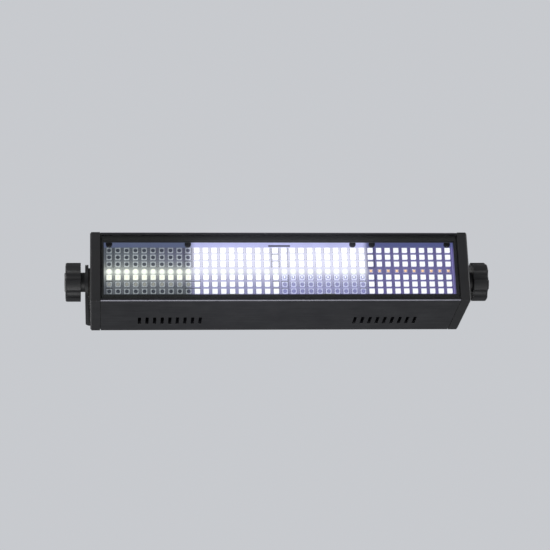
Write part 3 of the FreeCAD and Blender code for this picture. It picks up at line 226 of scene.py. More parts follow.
def light_field(n):
    """The light that the lit LEDs throw on what is round them: grey on the left, lavender in the middle and
    brightest in its upper rows, violet on the right, with a pool round each lit white LED. Gives its colour,
    how strongly the LEDs shine, its unevenness and the share of the middle."""
    place = n.add("ShaderNodeSeparateXYZ", {"Vector": n.coords((1 / MM, 1 / MM, 1 / MM))})
    across = place.outputs[0]
    up = n.math("SUBTRACT", place.outputs[2], MID_Z)

    def rise(value, start, end):
        inputs = {"Value": value, "From Min": start, "From Max": end}
        return n.add("ShaderNodeMapRange", inputs, interpolation_type="SMOOTHSTEP").outputs[0]

    def part(first, second):
        return n.math("SUBTRACT", first, second)

    left = part(1.0, rise(across, *LEFT_SECTION_EDGE))
    right = rise(across, *RIGHT_SECTION_EDGE)
    middle = part(part(1.0, left), right)
    high = n.math("POWER", n.ramp(up, 0.0, 1.0, -22.0, 1.0), 2.0)
    distance = n.math("ABSOLUTE", n.math("ADD", up, 1.0))
    band = n.math("POWER", n.ramp(distance, 1.0, 0.0, 0.0, 21.0), 3.0)
    thrown = {name: rgba(colour) for name, colour in THROWN.items()}
    dull = n.mix(rise(across, -140.0, -80.0), thrown["left"], thrown["left near the middle"])
    dull = n.mix(rise(up, -8.0, -18.0), dull, thrown["left low"])
    dull = n.mix(band, dull, thrown["band"])
    lavender = n.mix(high, thrown["middle low"], thrown["middle high"])
    rows = n.mix(middle, n.mix(right, dull, thrown["right"]), lavender)
    margin = n.mix(right, thrown["left margin"], thrown["right margin"])
    margin = n.mix(middle, margin, thrown["middle margin"])
    uneven = n.ramp(n.noise(60.0, 5.0), 0.94, 1.06)
    colour = n.mix(rise(up, *MARGIN_EDGE), rows, margin)
    aside = part(n.math("WRAP", across, COLUMN_PITCH, 0.0), COLUMN_PITCH / 2)
    below = n.math("ADD", up, 0.4)
    squares = n.math("ADD", n.math("MULTIPLY", aside, aside), n.math("MULTIPLY", below, below))
    reach = n.math("SQRT", squares)
    pool = n.math("MULTIPLY", part(1.0, rise(reach, *POOL_EDGE)), part(1.0, right))
    colour = n.mix(pool, colour, thrown["pool"])
    return colour, n.math("MULTIPLY", middle, high), uneven, middle


def lamp_and_painted_glow(name, colour, strength, boost=0.0):
    """A lit surface: its own light where the glow attribute is 1, fading to the thrown light at 0. Some of
    its finishes paint a reflection or a faint glow on unlit LEDs instead of their own light.
    """
    n = Nodes(name)
    glow = n.add("ShaderNodeAttribute", attribute_name="glow").outputs["Fac"]
    field, power, uneven, _ = light_field(n)
    own = n.math("MULTIPLY_ADD", power, boost, strength)
    mixed = n.math("MULTIPLY_ADD", glow, n.math("SUBTRACT", own, 1.0), 1.0)
    n.put(n.shader, "Base Color", rgba(colour, 0.30))
    n.put(n.shader, "Roughness", n.ramp(n.noise(300.0), 0.25, 0.45))
    n.put(n.shader, "Specular IOR Level", 0.3)
    n.put(n.shader, "Emission Color", n.mix(glow, field, rgba(colour)))
    n.put(n.shader, "Emission Strength", n.math("MULTIPLY", uneven, mixed))
    n.put(n.shader, "Normal", n.bump(n.noise(900.0), 0.05))
    return n.material


def phosphor_with_painted_highlight(name):
    """Yellow phosphor with painted light on it: a pale painted highlight in the middle, fading to a painted
    deep orange glow round its edge.
    """
    n = Nodes(name)
    edge = n.ramp(n.add("ShaderNodeLayerWeight", {"Blend": 0.5}).outputs["Facing"], 0.0, 1.0, 0.12, 0.62)
    grain = n.ramp(n.noise(1600.0, 4.0), 0.85, 1.15)
    n.put(n.shader, "Base Color", n.mix(n.noise(900.0), (0.86, 0.44, 0.10, 1.0), (0.74, 0.34, 0.07, 1.0)))
    n.put(n.shader, "Roughness", n.ramp(n.noise(700.0), 0.22, 0.40))
    # Painted highlight: pale emission where the phosphor faces the camera, a painted orange glow towards its
    # edge.
    n.put(n.shader, "Emission Color", n.mix(edge, (1.0, 0.84, 0.74, 1.0), (0.55, 0.20, 0.05, 1.0)))
    n.put(n.shader, "Emission Strength", n.math("MULTIPLY", grain, 0.80))
    n.put(n.shader, "Normal", n.bump(n.noise(1600.0), 0.15))
    return n.material


def lit_segment(name):
    """A glowing red bar, deeper red where its plastic is thick."""
    n = Nodes(name)
    n.put(n.shader, "Base Color", (0.30, 0.01, 0.01, 1.0))
    n.put(n.shader, "Roughness", n.ramp(n.noise(400.0), 0.3, 0.5))
    n.put(n.shader, "Emission Color", n.mix(n.noise(500.0), (1.0, 0.06, 0.02, 1.0), (1.0, 0.14, 0.05, 1.0)))
    n.put(n.shader, "Emission Strength", n.ramp(n.noise(260.0), 3.0, 3.8))
    return n.material


MATERIALS = {
    # The housing's front chamfer gets a faint painted glow.
    "black_anodised": surface("black_anodised", (0.010, 0.010, 0.012), 0.44, 0.25, 1400, 0.10, streak=900,
                              dust=0.05, edge=0.22, shine=0.35, painted_chamfer_glow=0.07),
    "black_paint": surface("black_paint", (0.011, 0.011, 0.012), 0.55, 0.0, 2200, 0.35, dust=0.05, edge=0.22,
                           shine=0.35),
    "seal_rubber": surface("seal_rubber", (0.010, 0.010, 0.010), 0.80, 0.0, 1600, 0.30, shine=0.3),
    "black_screw": surface("black_screw", (0.040, 0.040, 0.045), 0.36, 0.85, 1200, 0.08),
    "plain_steel": surface("plain_steel", (0.56, 0.55, 0.53), 0.30, 1.0, 1500, 0.06),
    "clear_glass": clear("clear_glass", (0.97, 0.985, 0.98), 0.8),
    "black_plastic": surface("black_plastic", (0.012, 0.012, 0.013), 0.48, 0.0, 2600, 0.30, dust=0.04,
                             shine=0.4),
    # The white board gets a dark base so that the painted light of the LEDs sets its colour.
    "white_solder_mask": surface("white_solder_mask", (0.085, 0.090, 0.10), 0.42, 0.0, 900, 0.05, 0.15,
                                 thrown=0.93),
    "led_white_body": surface("led_white_body", (0.58, 0.60, 0.62), 0.45, 0.0, 1500, 0.05, 0.08, thrown=0.64,
                              lift=0.60),
    "led_clear_fill": clear("led_clear_fill", (0.86, 0.87, 0.90), 1.0, 0.05),
    # The phosphor carries a painted highlight and glow.
    "phosphor_dome": phosphor_with_painted_highlight("phosphor_dome"),
    "thermal_grey": surface("thermal_grey", (0.40, 0.42, 0.45), 0.80, 0.0, 1200, 0.20),
    "raw_aluminium": surface("raw_aluminium", (0.66, 0.67, 0.68), 0.34, 1.0, 900, 0.08, streak=700),
    "green_board": surface("green_board", (0.018, 0.12, 0.05), 0.30, 0.0, 800, 0.05, 0.25, coat=0.3),
    "component_black": surface("component_black", (0.018, 0.018, 0.021), 0.45, 0.0, 1400, 0.20, shine=0.4),
    "red_black_lead": surface("red_black_lead", (0.30, 0.016, 0.014), 0.38, 0.0, 900, 0.05),
    "smoked_window": clear("smoked_window", (0.62, 0.63, 0.66), 0.8, 0.04),
    "grey_button": surface("grey_button", (0.12, 0.125, 0.13), 0.55, 0.0, 2400, 0.25),
    "blue_plastic": surface("blue_plastic", (0.012, 0.055, 0.28), 0.38, 0.0, 1800, 0.12),
    "light_grey_plastic": surface("light_grey_plastic", (0.46, 0.47, 0.48), 0.42, 0.0, 1800, 0.12, 0.08),
    "contact_brass": surface("contact_brass", (0.78, 0.56, 0.22), 0.22, 1.0, 900, 0.05),
    "brass_insert": surface("brass_insert", (0.66, 0.46, 0.18), 0.30, 1.0, 900, 0.08),
    "friction_disc": surface("friction_disc", (0.060, 0.056, 0.052), 0.85, 0.0, 1500, 0.50, 0.3),
    "black_steel": surface("black_steel", (0.012, 0.012, 0.013), 0.50, 0.1, 2000, 0.35, dust=0.05, edge=0.25,
                           shine=0.4),
    # Finishes of the detail pieces.
    "tin": surface("tin", (0.10, 0.105, 0.12), 0.38, 0.9, 1200, 0.10, 0.25, thrown=0.22),
    "well_floor": surface("well_floor", (0.09, 0.095, 0.11), 0.35, 0.3, 900, 0.08, 0.3, thrown=0.44,
                          lift=1.6),
    "die": surface("die", (0.22, 0.23, 0.26), 0.25, 0.2, 2000, 0.05, 0.3, thrown=0.38, lift=2.6),
    "pad": surface("pad", (0.07, 0.075, 0.085), 0.40, 0.5, 1200, 0.10, 0.25, thrown=0.62, lift=0.4),
    "black_print": surface("black_print", (0.006, 0.006, 0.007), 0.60, 0.0, 2600, 0.25, 0.2, shine=0.2),
    "pale_print": surface("pale_print", (0.36, 0.36, 0.42), 0.55, 0.0, 2600, 0.2, 0.15, thrown=1.25),
    "lit_white": lamp_and_painted_glow("lit_white", (0.93, 0.93, 0.98), 0.97, 0.5),
    "lit_core": lamp_and_painted_glow("lit_core", (0.97, 0.97, 1.0), 0.99, 2.0),
    "lit_mark": lamp_and_painted_glow("lit_mark", (0.80, 0.80, 0.96), 0.98, 1.6),
    # The warm white finishes light the first section's white row and also paint its reflection on the unlit
    # colour row under it; the warm mark, the faint finishes and the streak finish are painted light on unlit
    # LEDs.
    "warm_white_lit_and_ghost": lamp_and_painted_glow("warm_white_lit_and_ghost", (0.90, 0.91, 0.82), 0.98),
    "warm_core_lit_and_ghost": lamp_and_painted_glow("warm_core_lit_and_ghost", (0.97, 0.98, 0.88), 0.92),
    "warm_ghost_mark": lamp_and_painted_glow("warm_ghost_mark", (0.88, 0.80, 0.55), 0.86),
    "faint_painted_core": lamp_and_painted_glow("faint_painted_core", (0.22, 0.225, 0.225), 1.0),
    "faint_painted_mark": lamp_and_painted_glow("faint_painted_mark", (0.36, 0.34, 0.28), 1.0),
    "warm_drop": lamp_and_painted_glow("warm_drop", (0.99, 1.0, 0.93), 1.5),
    "painted_ghost_streak": lamp_and_painted_glow("painted_ghost_streak", (0.95, 0.95, 1.0), 0.95),
    "clear_dome": clear("clear_dome", (0.96, 0.93, 0.86), 1.2, 0.03),
    "segment_on": lit_segment("segment_on"),
    "segment_off": surface("segment_off", (0.16, 0.08, 0.08), 0.4, 0.0, 1500, 0.05),
    "knob_cap": surface("knob_cap", (0.045, 0.046, 0.048), 0.34, 0.0, 2400, 0.15, dust=0.05),
    "key_print": surface("key_print", (0.72, 0.72, 0.70), 0.55, 0.0, 2400, 0.10, 0.08),
}


# ----------------------------------------------------------------------------------------- mesh tools


def finish_mesh(bm):
    """Scale to metres, face outwards, shade smoothly except at sharp edges."""
    bmesh.ops.recalc_face_normals(bm, faces=bm.faces)
    bmesh.ops.scale(bm, vec=(MM, MM, MM), verts=bm.verts)
    limit = math.radians(SHARP_DEGREES)
    for face in bm.faces:
        face.smooth = True
    for edge in bm.edges:
        if len(edge.link_faces) != 2 or edge.calc_face_angle(0.0) > limit:
            edge.smooth = False


def make_piece(name, bm, body, slots, replaces=()):
    """A visible piece from a mesh in millimetres, riding on a CAD body."""
    finish_mesh(bm)
    mesh = bpy.data.meshes.new(name)
    bm.to_mesh(mesh)
    bm.free()
    piece = bpy.data.objects.new(name, mesh)
    bpy.context.scene.collection.objects.link(piece)
    for material in slots:
        mesh.materials.append(material)
    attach(piece, body)
    if replaces:
        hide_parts(*replaces)
    return piece


def basis(axis):
    """Two unit vectors across an axis."""
    axis = Vector(axis).normalized()
    first = Vector((0, 0, 1)) if abs(axis.z) < 0.9 else Vector((1, 0, 0))
    across = first.cross(axis).normalized()
    return axis, across, axis.cross(across)


def lathe(bm, centre, axis, profile, segments):
    """Turn a profile of (radius, distance along the axis) about an axis."""
    axis, across, other = basis(axis)
    centre = Vector(centre)
    rings = []
    for radius, along in profile:
        foot = centre + axis * along
        if radius < 1e-6:
            rings.append([bm.verts.new(foot)])
            continue
        ring = []
        for step in range(segments):
            angle = 2 * math.pi * step / segments
            place = foot + across * (radius * math.cos(angle)) + other * (radius * math.sin(angle))
            ring.append(bm.verts.new(place))
        rings.append(ring)
    for lower, upper in zip(rings, rings[1:]):
        for step in range(segments):
            after = (step + 1) % segments
            if len(lower) == 1 and len(upper) == 1:
                continue
            if len(lower) == 1:
                bm.faces.new((lower[0], upper[after], upper[step]))
            elif len(upper) == 1:
                bm.faces.new((lower[step], lower[after], upper[0]))
            else:
                bm.faces.new((lower[step], lower[after], upper[after], upper[step]))


def block(bm, centre, size, bevel=0.0, material=0):
    """A box about a centre, its edges rounded where a bevel is given."""
    matrix = Matrix.Translation(centre) @ Matrix.Diagonal((*size, 1.0))
    made = bmesh.ops.create_cube(bm, size=1.0, matrix=matrix)
    faces = set()
    for vertex in made["verts"]:
        faces.update(vertex.link_faces)
    for face in faces:
        face.material_index = material
    if bevel:
        edges = list({edge for face in faces for edge in face.edges})
        bmesh.ops.bevel(bm, geom=edges, offset=bevel, segments=2, profile=0.5, affect="EDGES",
                        clamp_overlap=True, material=material)


def tile(bm, stamp, offsets, finishes=None):
    """Copy a stamp mesh, with its brightness, to each offset; finishes maps old material numbers to new."""
    source = glow_layer(stamp)
    target = glow_layer(bm)
    stamp.verts.index_update()
    finishes = finishes or {}
    for offset in offsets:
        shift = Vector(offset)
        verts = []
        for vertex in stamp.verts:
            copy = bm.verts.new(vertex.co + shift)
            copy[target] = vertex[source]
            verts.append(copy)
        for face in stamp.faces:
            copy = bm.faces.new([verts[vertex.index] for vertex in face.verts])
            copy.material_index = finishes.get(face.material_index, face.material_index)


def glow_layer(bm):
    """The brightness of each vertex, which the lit finishes read."""
    return bm.verts.layers.float.get("glow") or bm.verts.layers.float.new("glow")


def light_up(bm):
    """Every vertex at full brightness."""
    layer = glow_layer(bm)
    for vertex in bm.verts:
        vertex[layer] = 1.0


def ring(bm, points, glow=0.0):
    """Vertices at a run of points, all of one brightness."""
    layer = glow_layer(bm)
    made = [bm.verts.new(point) for point in points]
    for vertex in made:
        vertex[layer] = glow
    return made


def bridge(bm, rings, material=0):
    """Quads between each pair of rings of equal length."""
    for lower, upper in zip(rings, rings[1:]):
        for step in range(len(lower)):
            after = (step + 1) % len(lower)
            bm.faces.new((lower[step], lower[after], upper[after], upper[step])).material_index = material


def column_across(column):
    """How far across the middle of a column of LEDs stands."""
    return (column - (COLUMNS - 1) / 2) * COLUMN_PITCH


# -------------------------------------------------------------------------------- CAD pieces as shown


def dress_cad():
    """Give every CAD node its slot's material."""
    slots = {entry["node"]: entry["material_slot"] for entry in frame["record"]["subparts"]}
    for node, item in frame["nodes"].items():
        item.data.materials.clear()
        item.data.materials.append(MATERIALS[slots[node]])


dress_cad()


# ------------------------------------------------------------------------------------------ LED board

RGB_ROWS = (0, 1, 2, 4, 5, 6)
WHITE_ROW = 3
PACKAGE_HALF = 2.5
PACKAGE_HIGH = 1.6
WELL = 2.02
WELL_DEEP = 0.72
FILL_FRONT = 0.14
FILL_BACK = 0.56
DICE_PITCH = 0.78
DICE_DEEP = 0.65
LIT_DICE_DEEP = 0.09
WHITE_HALF = 1.75
WHITE_HIGH = 0.8
WHITE_WELL = 1.38
DOME_TOP = 2.15


def state_of(column, row):
    """Which LEDs are lit: the first section only in its white row, the third only from the white row up, and
    the last everywhere but in its white row. In the first section the unlit colour row under the white row
    is painted warm white as a painted reflection of the white row in the cover glass, and the row under that
    gets a faint painted glow; in the third section the unlit row under the white row gets a painted streak
    of that reflection."""
    section = column // SECTION_COLUMNS
    if section == 0:
        # The warm colour row under the white row is a painted reflection of it and the next row a faint
        # painted glow; both are unlit LEDs.
        return ("off", "off", "off", "warm_lit_and_ghost", "warm_lit_and_ghost", "faint_painted_glow", "off")[row]
    # The unlit row under the third section's white row carries a painted streak of its reflection.
    if section == 2 and row > WHITE_ROW:
        return "painted_ghost_streak" if row == 4 else "off"
    if section == 3 and row == WHITE_ROW:
        return "off"
    return "lit"


def spots(rows, state=None, columns=range(COLUMNS)):
    """Where the LEDs of some rows and columns sit on the board, all of them or those in the given states."""
    return [
        (column_across(column), BOARD_Y, MID_Z + ROWS_UP[row])
        for column in columns
        for row in rows
        if state is None or state_of(column, row) in state
    ]


def square_loop(half, corner, depth, cut=0.0):
    """Points round a square with rounded corners, facing the front; cut widens one corner's rounding."""
    points = []
    for turn in range(4):
        angle = math.pi / 2 * turn + math.pi / 4
        right, up = math.copysign(1, math.cos(angle)), math.copysign(1, math.sin(angle))
        radius = cut if cut and turn == 3 else corner
        for step in range(3):
            swing = math.pi / 2 * turn + math.pi / 4 * step
            points.append(Vector((
                right * (half - radius) + radius * math.cos(swing), depth,
                up * (half - radius) + radius * math.sin(swing),
            )))
    loop = []
    for index, point in enumerate(points):
        loop.append(point)
        if index % 3 == 2:
            following = points[(index + 1) % len(points)]
            loop.extend(point.lerp(following, share) for share in (0.25, 0.5, 0.75))
    return loop


def round_loop(radius, depth, like):
    """Points round a circle, in the same directions as another loop's."""
    return [Vector((point.x, 0, point.z)).normalized() * radius + Vector((0, depth, 0)) for point in like]


def package_stamp(half, corner, high, well, deep, cut=0.0):
    """A moulded LED body with a round sloping well. Finish 0 is the body and 1 the well's floor."""
    stamp = bmesh.new()
    outline = square_loop(half, corner, 0.0, cut)
    loops = [
        ring(stamp, outline, 0.0),
        ring(stamp, square_loop(half, corner, 0.12 - high, cut), 0.35),
        ring(stamp, square_loop(half - 0.10, corner, -high, cut), 0.90),
        ring(stamp, round_loop(well + 0.10, -high, outline), 1.0),
        ring(stamp, round_loop(well, 0.09 - high, outline), 1.0),
        ring(stamp, round_loop(well * 0.84, deep - high, outline), 1.0),
    ]
    bridge(stamp, loops)
    stamp.faces.new(loops[-1]).material_index = 1
    stamp.faces.new(loops[0])
    return stamp


def add_tabs(stamp, half, material):
    """Three soldered tabs down each side of a package."""
    for side in SIDES:
        for up in (-1.7, 0.0, 1.7):
            outline = [(half - 0.04, 0.0), (half - 0.04, -0.62), (half + 0.14, -0.40), (half + 0.55, -0.13),
                       (half + 0.60, 0.0)]
            ends = [
                ring(stamp, [Vector((side * across, depth, up + end * 0.45)) for across, depth in outline])
                for end in SIDES
            ]
            bridge(stamp, ends, material)
            for end in ends:
                stamp.faces.new(end).material_index = material


def build_packages():
    """The colour LEDs: one piece per board section, each body in its lit or unlit finish. The unlit row
    under the first section's white row gets the warm lit finish as a painted reflection of that row.
    """
    stamp = package_stamp(PACKAGE_HALF, 0.22, PACKAGE_HIGH, WELL, WELL_DEEP, 0.75)
    add_tabs(stamp, PACKAGE_HALF, 2)
    finishes = ["led_white_body", "well_floor", "tin", "lit_white", "lit_core", "warm_white_lit_and_ghost", "warm_core_lit_and_ghost"]
    remaps = {"off": {}, "faint_painted_glow": {}, "painted_ghost_streak": {}, "lit": {0: 3, 1: 4}, "warm_lit_and_ghost": {0: 5, 1: 6}}
    for section in range(4):
        columns = range(section * SECTION_COLUMNS, (section + 1) * SECTION_COLUMNS)
        bm = bmesh.new()
        for state, remap in remaps.items():
            tile(bm, stamp, spots(RGB_ROWS, (state,), columns), remap)
        make_piece(f"colour_leds_{section + 1}", bm, "fixture", [MATERIALS[name] for name in finishes],
                   [f"rgb_packages_{section + 1}"])
    stamp.free()


def disc_stamp(radius, front, back, crown, glow):
    """A closed shallow lens between two depths, its front crowned."""
    stamp = bmesh.new()
    loops = []
    for share, depth in ((0.90, back), (1.0, front), (0.66, front - crown * 0.7), (0.30, front - crown)):
        points = [
            Vector((radius * share * math.cos(a), depth, radius * share * math.sin(a)))
            for a in (2 * math.pi * step / 24 for step in range(24))
        ]
        loops.append(ring(stamp, points, glow))
    bridge(stamp, loops)
    for end in (loops[0], loops[-1]):
        stamp.faces.new(end)
    return stamp


def build_fills():
    """The clear filling of each well, lit or not, and the three dice and their bond wires under or in it. In
    the first section the unlit wells under the white row are painted warm as its reflection and the next row
    gets a faint painted glow; in the third a painted streak of the reflection lies in the wells under the
    white row.
    """
    fill = disc_stamp(WELL - 0.04, FILL_FRONT - PACKAGE_HIGH, FILL_BACK - PACKAGE_HIGH, 0.05, 1.0)
    bm = bmesh.new()
    tile(bm, fill, spots(RGB_ROWS, ("off", "painted_ghost_streak")))
    tile(bm, fill, spots(RGB_ROWS, ("lit",)), {0: 1})
    tile(bm, fill, spots(RGB_ROWS, ("warm_lit_and_ghost",)), {0: 2})
    tile(bm, fill, spots(RGB_ROWS, ("faint_painted_glow",)), {0: 3})
    finishes = ("led_clear_fill", "lit_core", "warm_core_lit_and_ghost", "faint_painted_core")
    make_piece("led_fillings", bm, "fixture", [MATERIALS[name] for name in finishes], ["rgb_lenses"])
    fill.free()
    dice = bmesh.new()
    for step in (-1, 0, 1):
        block(dice, (0.12 * step, 0, DICE_PITCH * step), (0.62, 0.14, 0.46))
        for side in SIDES:
            block(dice, (side * 0.82, 0, DICE_PITCH * step + 0.12 * side), (0.90, 0.06, 0.12))
    low = [(x, y + DICE_DEEP - PACKAGE_HIGH, z) for x, y, z in spots(RGB_ROWS, ("off", "painted_ghost_streak"))]
    light_up(dice)
    bm = bmesh.new()
    tile(bm, dice, low)
    for state, number in (("lit", 1), ("warm_lit_and_ghost", 3), ("faint_painted_glow", 4)):
        high = [(x, y + LIT_DICE_DEEP - PACKAGE_HIGH, z) for x, y, z in spots(RGB_ROWS, (state,))]
        tile(bm, dice, high, {0: number})
    # A painted streak of the white row's reflection, in unlit wells.
    streak = bmesh.new()
    block(streak, (-0.1, 0, 0.15), (1.3, 0.12, 2.2), 0.3)
    light_up(streak)
    high = [(x, y + LIT_DICE_DEEP - PACKAGE_HIGH, z) for x, y, z in spots(RGB_ROWS, ("painted_ghost_streak",))]
    tile(bm, streak, high, {0: 2})
    finishes = ("die", "lit_mark", "painted_ghost_streak", "warm_ghost_mark", "faint_painted_mark")
    make_piece("led_dice", bm, "fixture", [MATERIALS[name] for name in finishes], ())
    dice.free()
    streak.free()


def build_white_leds():
    """The middle row: small packages with a phosphor die under a clear dome."""
    body = package_stamp(WHITE_HALF, 0.25, WHITE_HIGH, WHITE_WELL, 0.30)
    bm = bmesh.new()
    remaps = {"off": {}, "lit": {0: 2, 1: 3}, "warm_lit_and_ghost": {0: 4, 1: 5}}
    for state, remap in remaps.items():
        tile(bm, body, spots((WHITE_ROW,), (state,)), remap)
    finishes = ("led_white_body", "well_floor", "lit_white", "lit_core", "warm_white_lit_and_ghost", "warm_core_lit_and_ghost")
    make_piece("white_leds", bm, "fixture", [MATERIALS[name] for name in finishes], ["white_packages"])
    body.free()
    drop = bmesh.new()
    lathe(drop, (0, 0, 0), (0, -1, 0), [(0, 0.52), (1.15, 0.52), (1.18, 0.80), (1.08, 1.15), (0.75, 1.45),
                                        (0.35, 1.58), (0, 1.60)], 20)
    dome = bmesh.new()
    lathe(dome, (0, 0, 0), (0, -1, 0), [(0, 0.56), (1.36, 0.56), (1.52, 0.76), (1.50, 0.92), (1.42, 1.25),
                                        (1.18, 1.66), (0.82, 1.96), (0.42, 2.11), (0, DOME_TOP)], 24)
    light_up(drop)
    bm = bmesh.new()
    for state, number in (("off", 0), ("lit", 1), ("warm_lit_and_ghost", 2)):
        tile(bm, drop, spots((WHITE_ROW,), (state,)), {0: number})
    finishes = ("phosphor_dome", "lit_core", "warm_drop")
    make_piece("phosphor_drops", bm, "fixture", [MATERIALS[name] for name in finishes], ["white_domes"])
    bm = bmesh.new()
    tile(bm, dome, spots((WHITE_ROW,)))
    make_piece("led_domes", bm, "fixture", [MATERIALS["clear_dome"]], ())
    drop.free()
    dome.free()


PRINT_WIDE = 0.5
PRINT_HIGH = 0.10
GAP_ACROSS = 3.75
HALF_ROW = 3.05
UNDER_WIDE = 6.4
GAP_MIDDLE = COLUMN_PITCH / 2
PADS_DOWN = 27
PAD_PITCH = 1.7


def build_board_print():
    """Printed frames and bars round some LEDs, the board's pale right edge, and the raised tracks and pads
    between the LEDs."""
    bm = bmesh.new()

    def bar(across, up, wide, tall, material=0, high=PRINT_HIGH):
        block(bm, (across, BOARD_Y - high / 2, MID_Z + up), (wide, high, tall), 0.0, material)

    def beside(column, first, last, side=1):
        top, bottom = ROWS_UP[first] + HALF_ROW, ROWS_UP[last] - HALF_ROW
        bar(column_across(column) + side * GAP_ACROSS, (top + bottom) / 2, PRINT_WIDE, top - bottom)

    def under(column, row, reach=0.0):
        next_up = ROWS_UP[row + 1] if row + 1 < len(ROWS_UP) else ROWS_UP[row] - ROW_STEP
        middle = (ROWS_UP[row] + next_up) / 2
        bar(column_across(column) + reach / 2, middle, UNDER_WIDE + reach, PRINT_WIDE)

    for column in (9, 19):
        beside(column, 0, 2, -1)
        beside(column, 0, 2)
        for row in (0, 1):
            under(column, row)
    for column in (0, 20, 30):
        beside(column, 0, 2)
    for row in (0, 1, 2):
        under(30, row)
    for row in (4, 5):
        for column in (0, 19, 20, 29):
            under(column, row)
        under(9, row, 8.0)
    for column in (20, 30):
        beside(column, 4, 6)
    bar(160.35, 0.0, 0.45, 57.0, 1, 0.25)
    for column in range(COLUMNS - 1):
        gap = column_across(column) + GAP_MIDDLE
        bar(gap, 0.0, 0.9, 46.0, 2, 0.06)
        for step in range(PADS_DOWN):
            bar(gap, PAD_PITCH * (step - (PADS_DOWN - 1) / 2), 0.55, 0.95, 3, 0.16)
    for row in range(len(ROWS_UP) - 1):
        bar(0.0, (ROWS_UP[row] + ROWS_UP[row + 1]) / 2, 316.0, 0.7, 2, 0.05)
    finishes = ("black_print", "pale_print", "white_solder_mask", "pad")
    make_piece("board_print", bm, "fixture", [MATERIALS[name] for name in finishes], ())


build_packages()
build_fills()
build_white_leds()
build_board_print()


# --------------------------------------------------------------------------------- rear panel and knobs

PANEL_Y = 21.0
DISPLAY_Y = 16.6
DISPLAY_UP = 41.95
DIGIT_PITCH = 7.8
DIGIT_HALF_WIDE = 2.3
DIGIT_HALF_TALL = 4.3
DIGIT_SLANT = 0.12
BAR_WIDE = 1.0
SEGMENTS = {
    "a": (0, 1, True), "b": (-1, 0.5, False), "c": (-1, -0.5, False), "d": (0, -1, True),
    "e": (1, -0.5, False), "f": (1, 0.5, False), "g": (0, 0, True),
}
DIGITS = ("", "abcdef", "abcdef", "bc")
KEY_FACE_Y = 24.0
KEYS_UP = 21.95
KEY_PITCH = 13.0
POWER_SOCKETS = {"power_in": 142.0, "power_out": 112.0}
ARROWS = ((142.0, -1), (112.0, 1), (-112.0, -1), (-142.0, 1))
ARROWS_UP = 55.4
EARTH_ACROSS = 96.5
EARTH_UP = 13.45
PRINT_SUNK = 0.02
KNOB_END = 195.85


def plate(bm, outline, near, far, material=0):
    """A flat piece with an outline of points across and up, between two depths."""
    ends = [ring(bm, [Vector((across, depth, up)) for across, up in outline]) for depth in (near, far)]
    bridge(bm, ends, material)
    for end in ends:
        bm.faces.new(end).material_index = material


def segment_outline(middle, long, flat):
    """The six corners of one bar of a digit."""
    tip, side = long / 2, BAR_WIDE / 2
    corners = [(-tip, 0), (side - tip, side), (tip - side, side),
               (tip, 0), (tip - side, -side), (side - tip, -side)]
    if not flat:
        corners = [(up, across) for across, up in corners]
    return [(middle[0] + x - (middle[1] + z) * DIGIT_SLANT, middle[1] + z) for x, z in corners]


def build_display():
    """Four seven-segment digits behind the window, reading 001."""
    bm = bmesh.new()
    for number, lit in enumerate(DIGITS):
        across = DIGIT_PITCH * ((len(DIGITS) - 1) / 2 - number)
        for segment, (side, level, flat) in SEGMENTS.items():
            middle = (side * DIGIT_HALF_WIDE, level * DIGIT_HALF_TALL)
            long = 2 * DIGIT_HALF_WIDE if flat else DIGIT_HALF_TALL
            outline = [(across + x, DISPLAY_UP + z) for x, z in segment_outline(middle, long - 0.35, flat)]
            plate(bm, outline, DISPLAY_Y, DISPLAY_Y + 0.2, 0 if segment in lit else 1)
    make_piece("display_digits", bm, "fixture", [MATERIALS["segment_on"], MATERIALS["segment_off"]], ())


def rounded(corners, radius):
    """An outline of corners, each cut by a small arc."""
    steps = 4
    points = []
    for index, corner in enumerate(corners):
        corner = Vector(corner)
        before = (Vector(corners[index - 1]) - corner).normalized()
        after = (Vector(corners[(index + 1) % len(corners)]) - corner).normalized()
        for step in range(steps + 1):
            share = step / steps
            points.append(tuple(corner + radius * ((1 - share) ** 2 * before + share ** 2 * after)))
    return points


def build_key_marks():
    """Raised marks on the four keys: three bars, two arrowheads and a ring."""
    near, far = KEY_FACE_Y - PRINT_SUNK, KEY_FACE_Y + 0.18
    arrow = rounded([(-1.7, -1.1), (1.7, -1.1), (0.0, 1.6)], 0.45)
    bars = [
        rounded([(-1.6, low), (1.6, low), (1.6, low + 0.5), (-1.6, low + 0.5)], 0.2)
        for low in (-1.4, -0.25, 0.9)
    ]
    marks = {
        "enter": (-1.5, []),
        "down": (-0.5, [[(x, -z) for x, z in arrow]]),
        "up": (0.5, [arrow]),
        "menu": (1.5, bars),
    }
    for key, (place, outlines) in marks.items():
        bm = bmesh.new()
        across = place * KEY_PITCH
        for outline in outlines:
            plate(bm, [(across + x, KEYS_UP + z) for x, z in outline], near, far)
        if not outlines:
            washer(bm, (across, near, KEYS_UP), 1.0, 1.6, far - near)
        make_piece(f"{key}_mark", bm, f"key_{key}", [MATERIALS["key_print"]], ())


def washer(bm, centre, inner, outer, thick):
    """A flat ring facing the rear, whose profile closes on itself."""
    profile = [(inner, 0), (outer, 0), (outer, thick), (inner, thick), (inner, 0)]
    lathe(bm, centre, (0, 1, 0), profile, 32)
    bmesh.ops.remove_doubles(bm, verts=bm.verts, dist=1e-4)


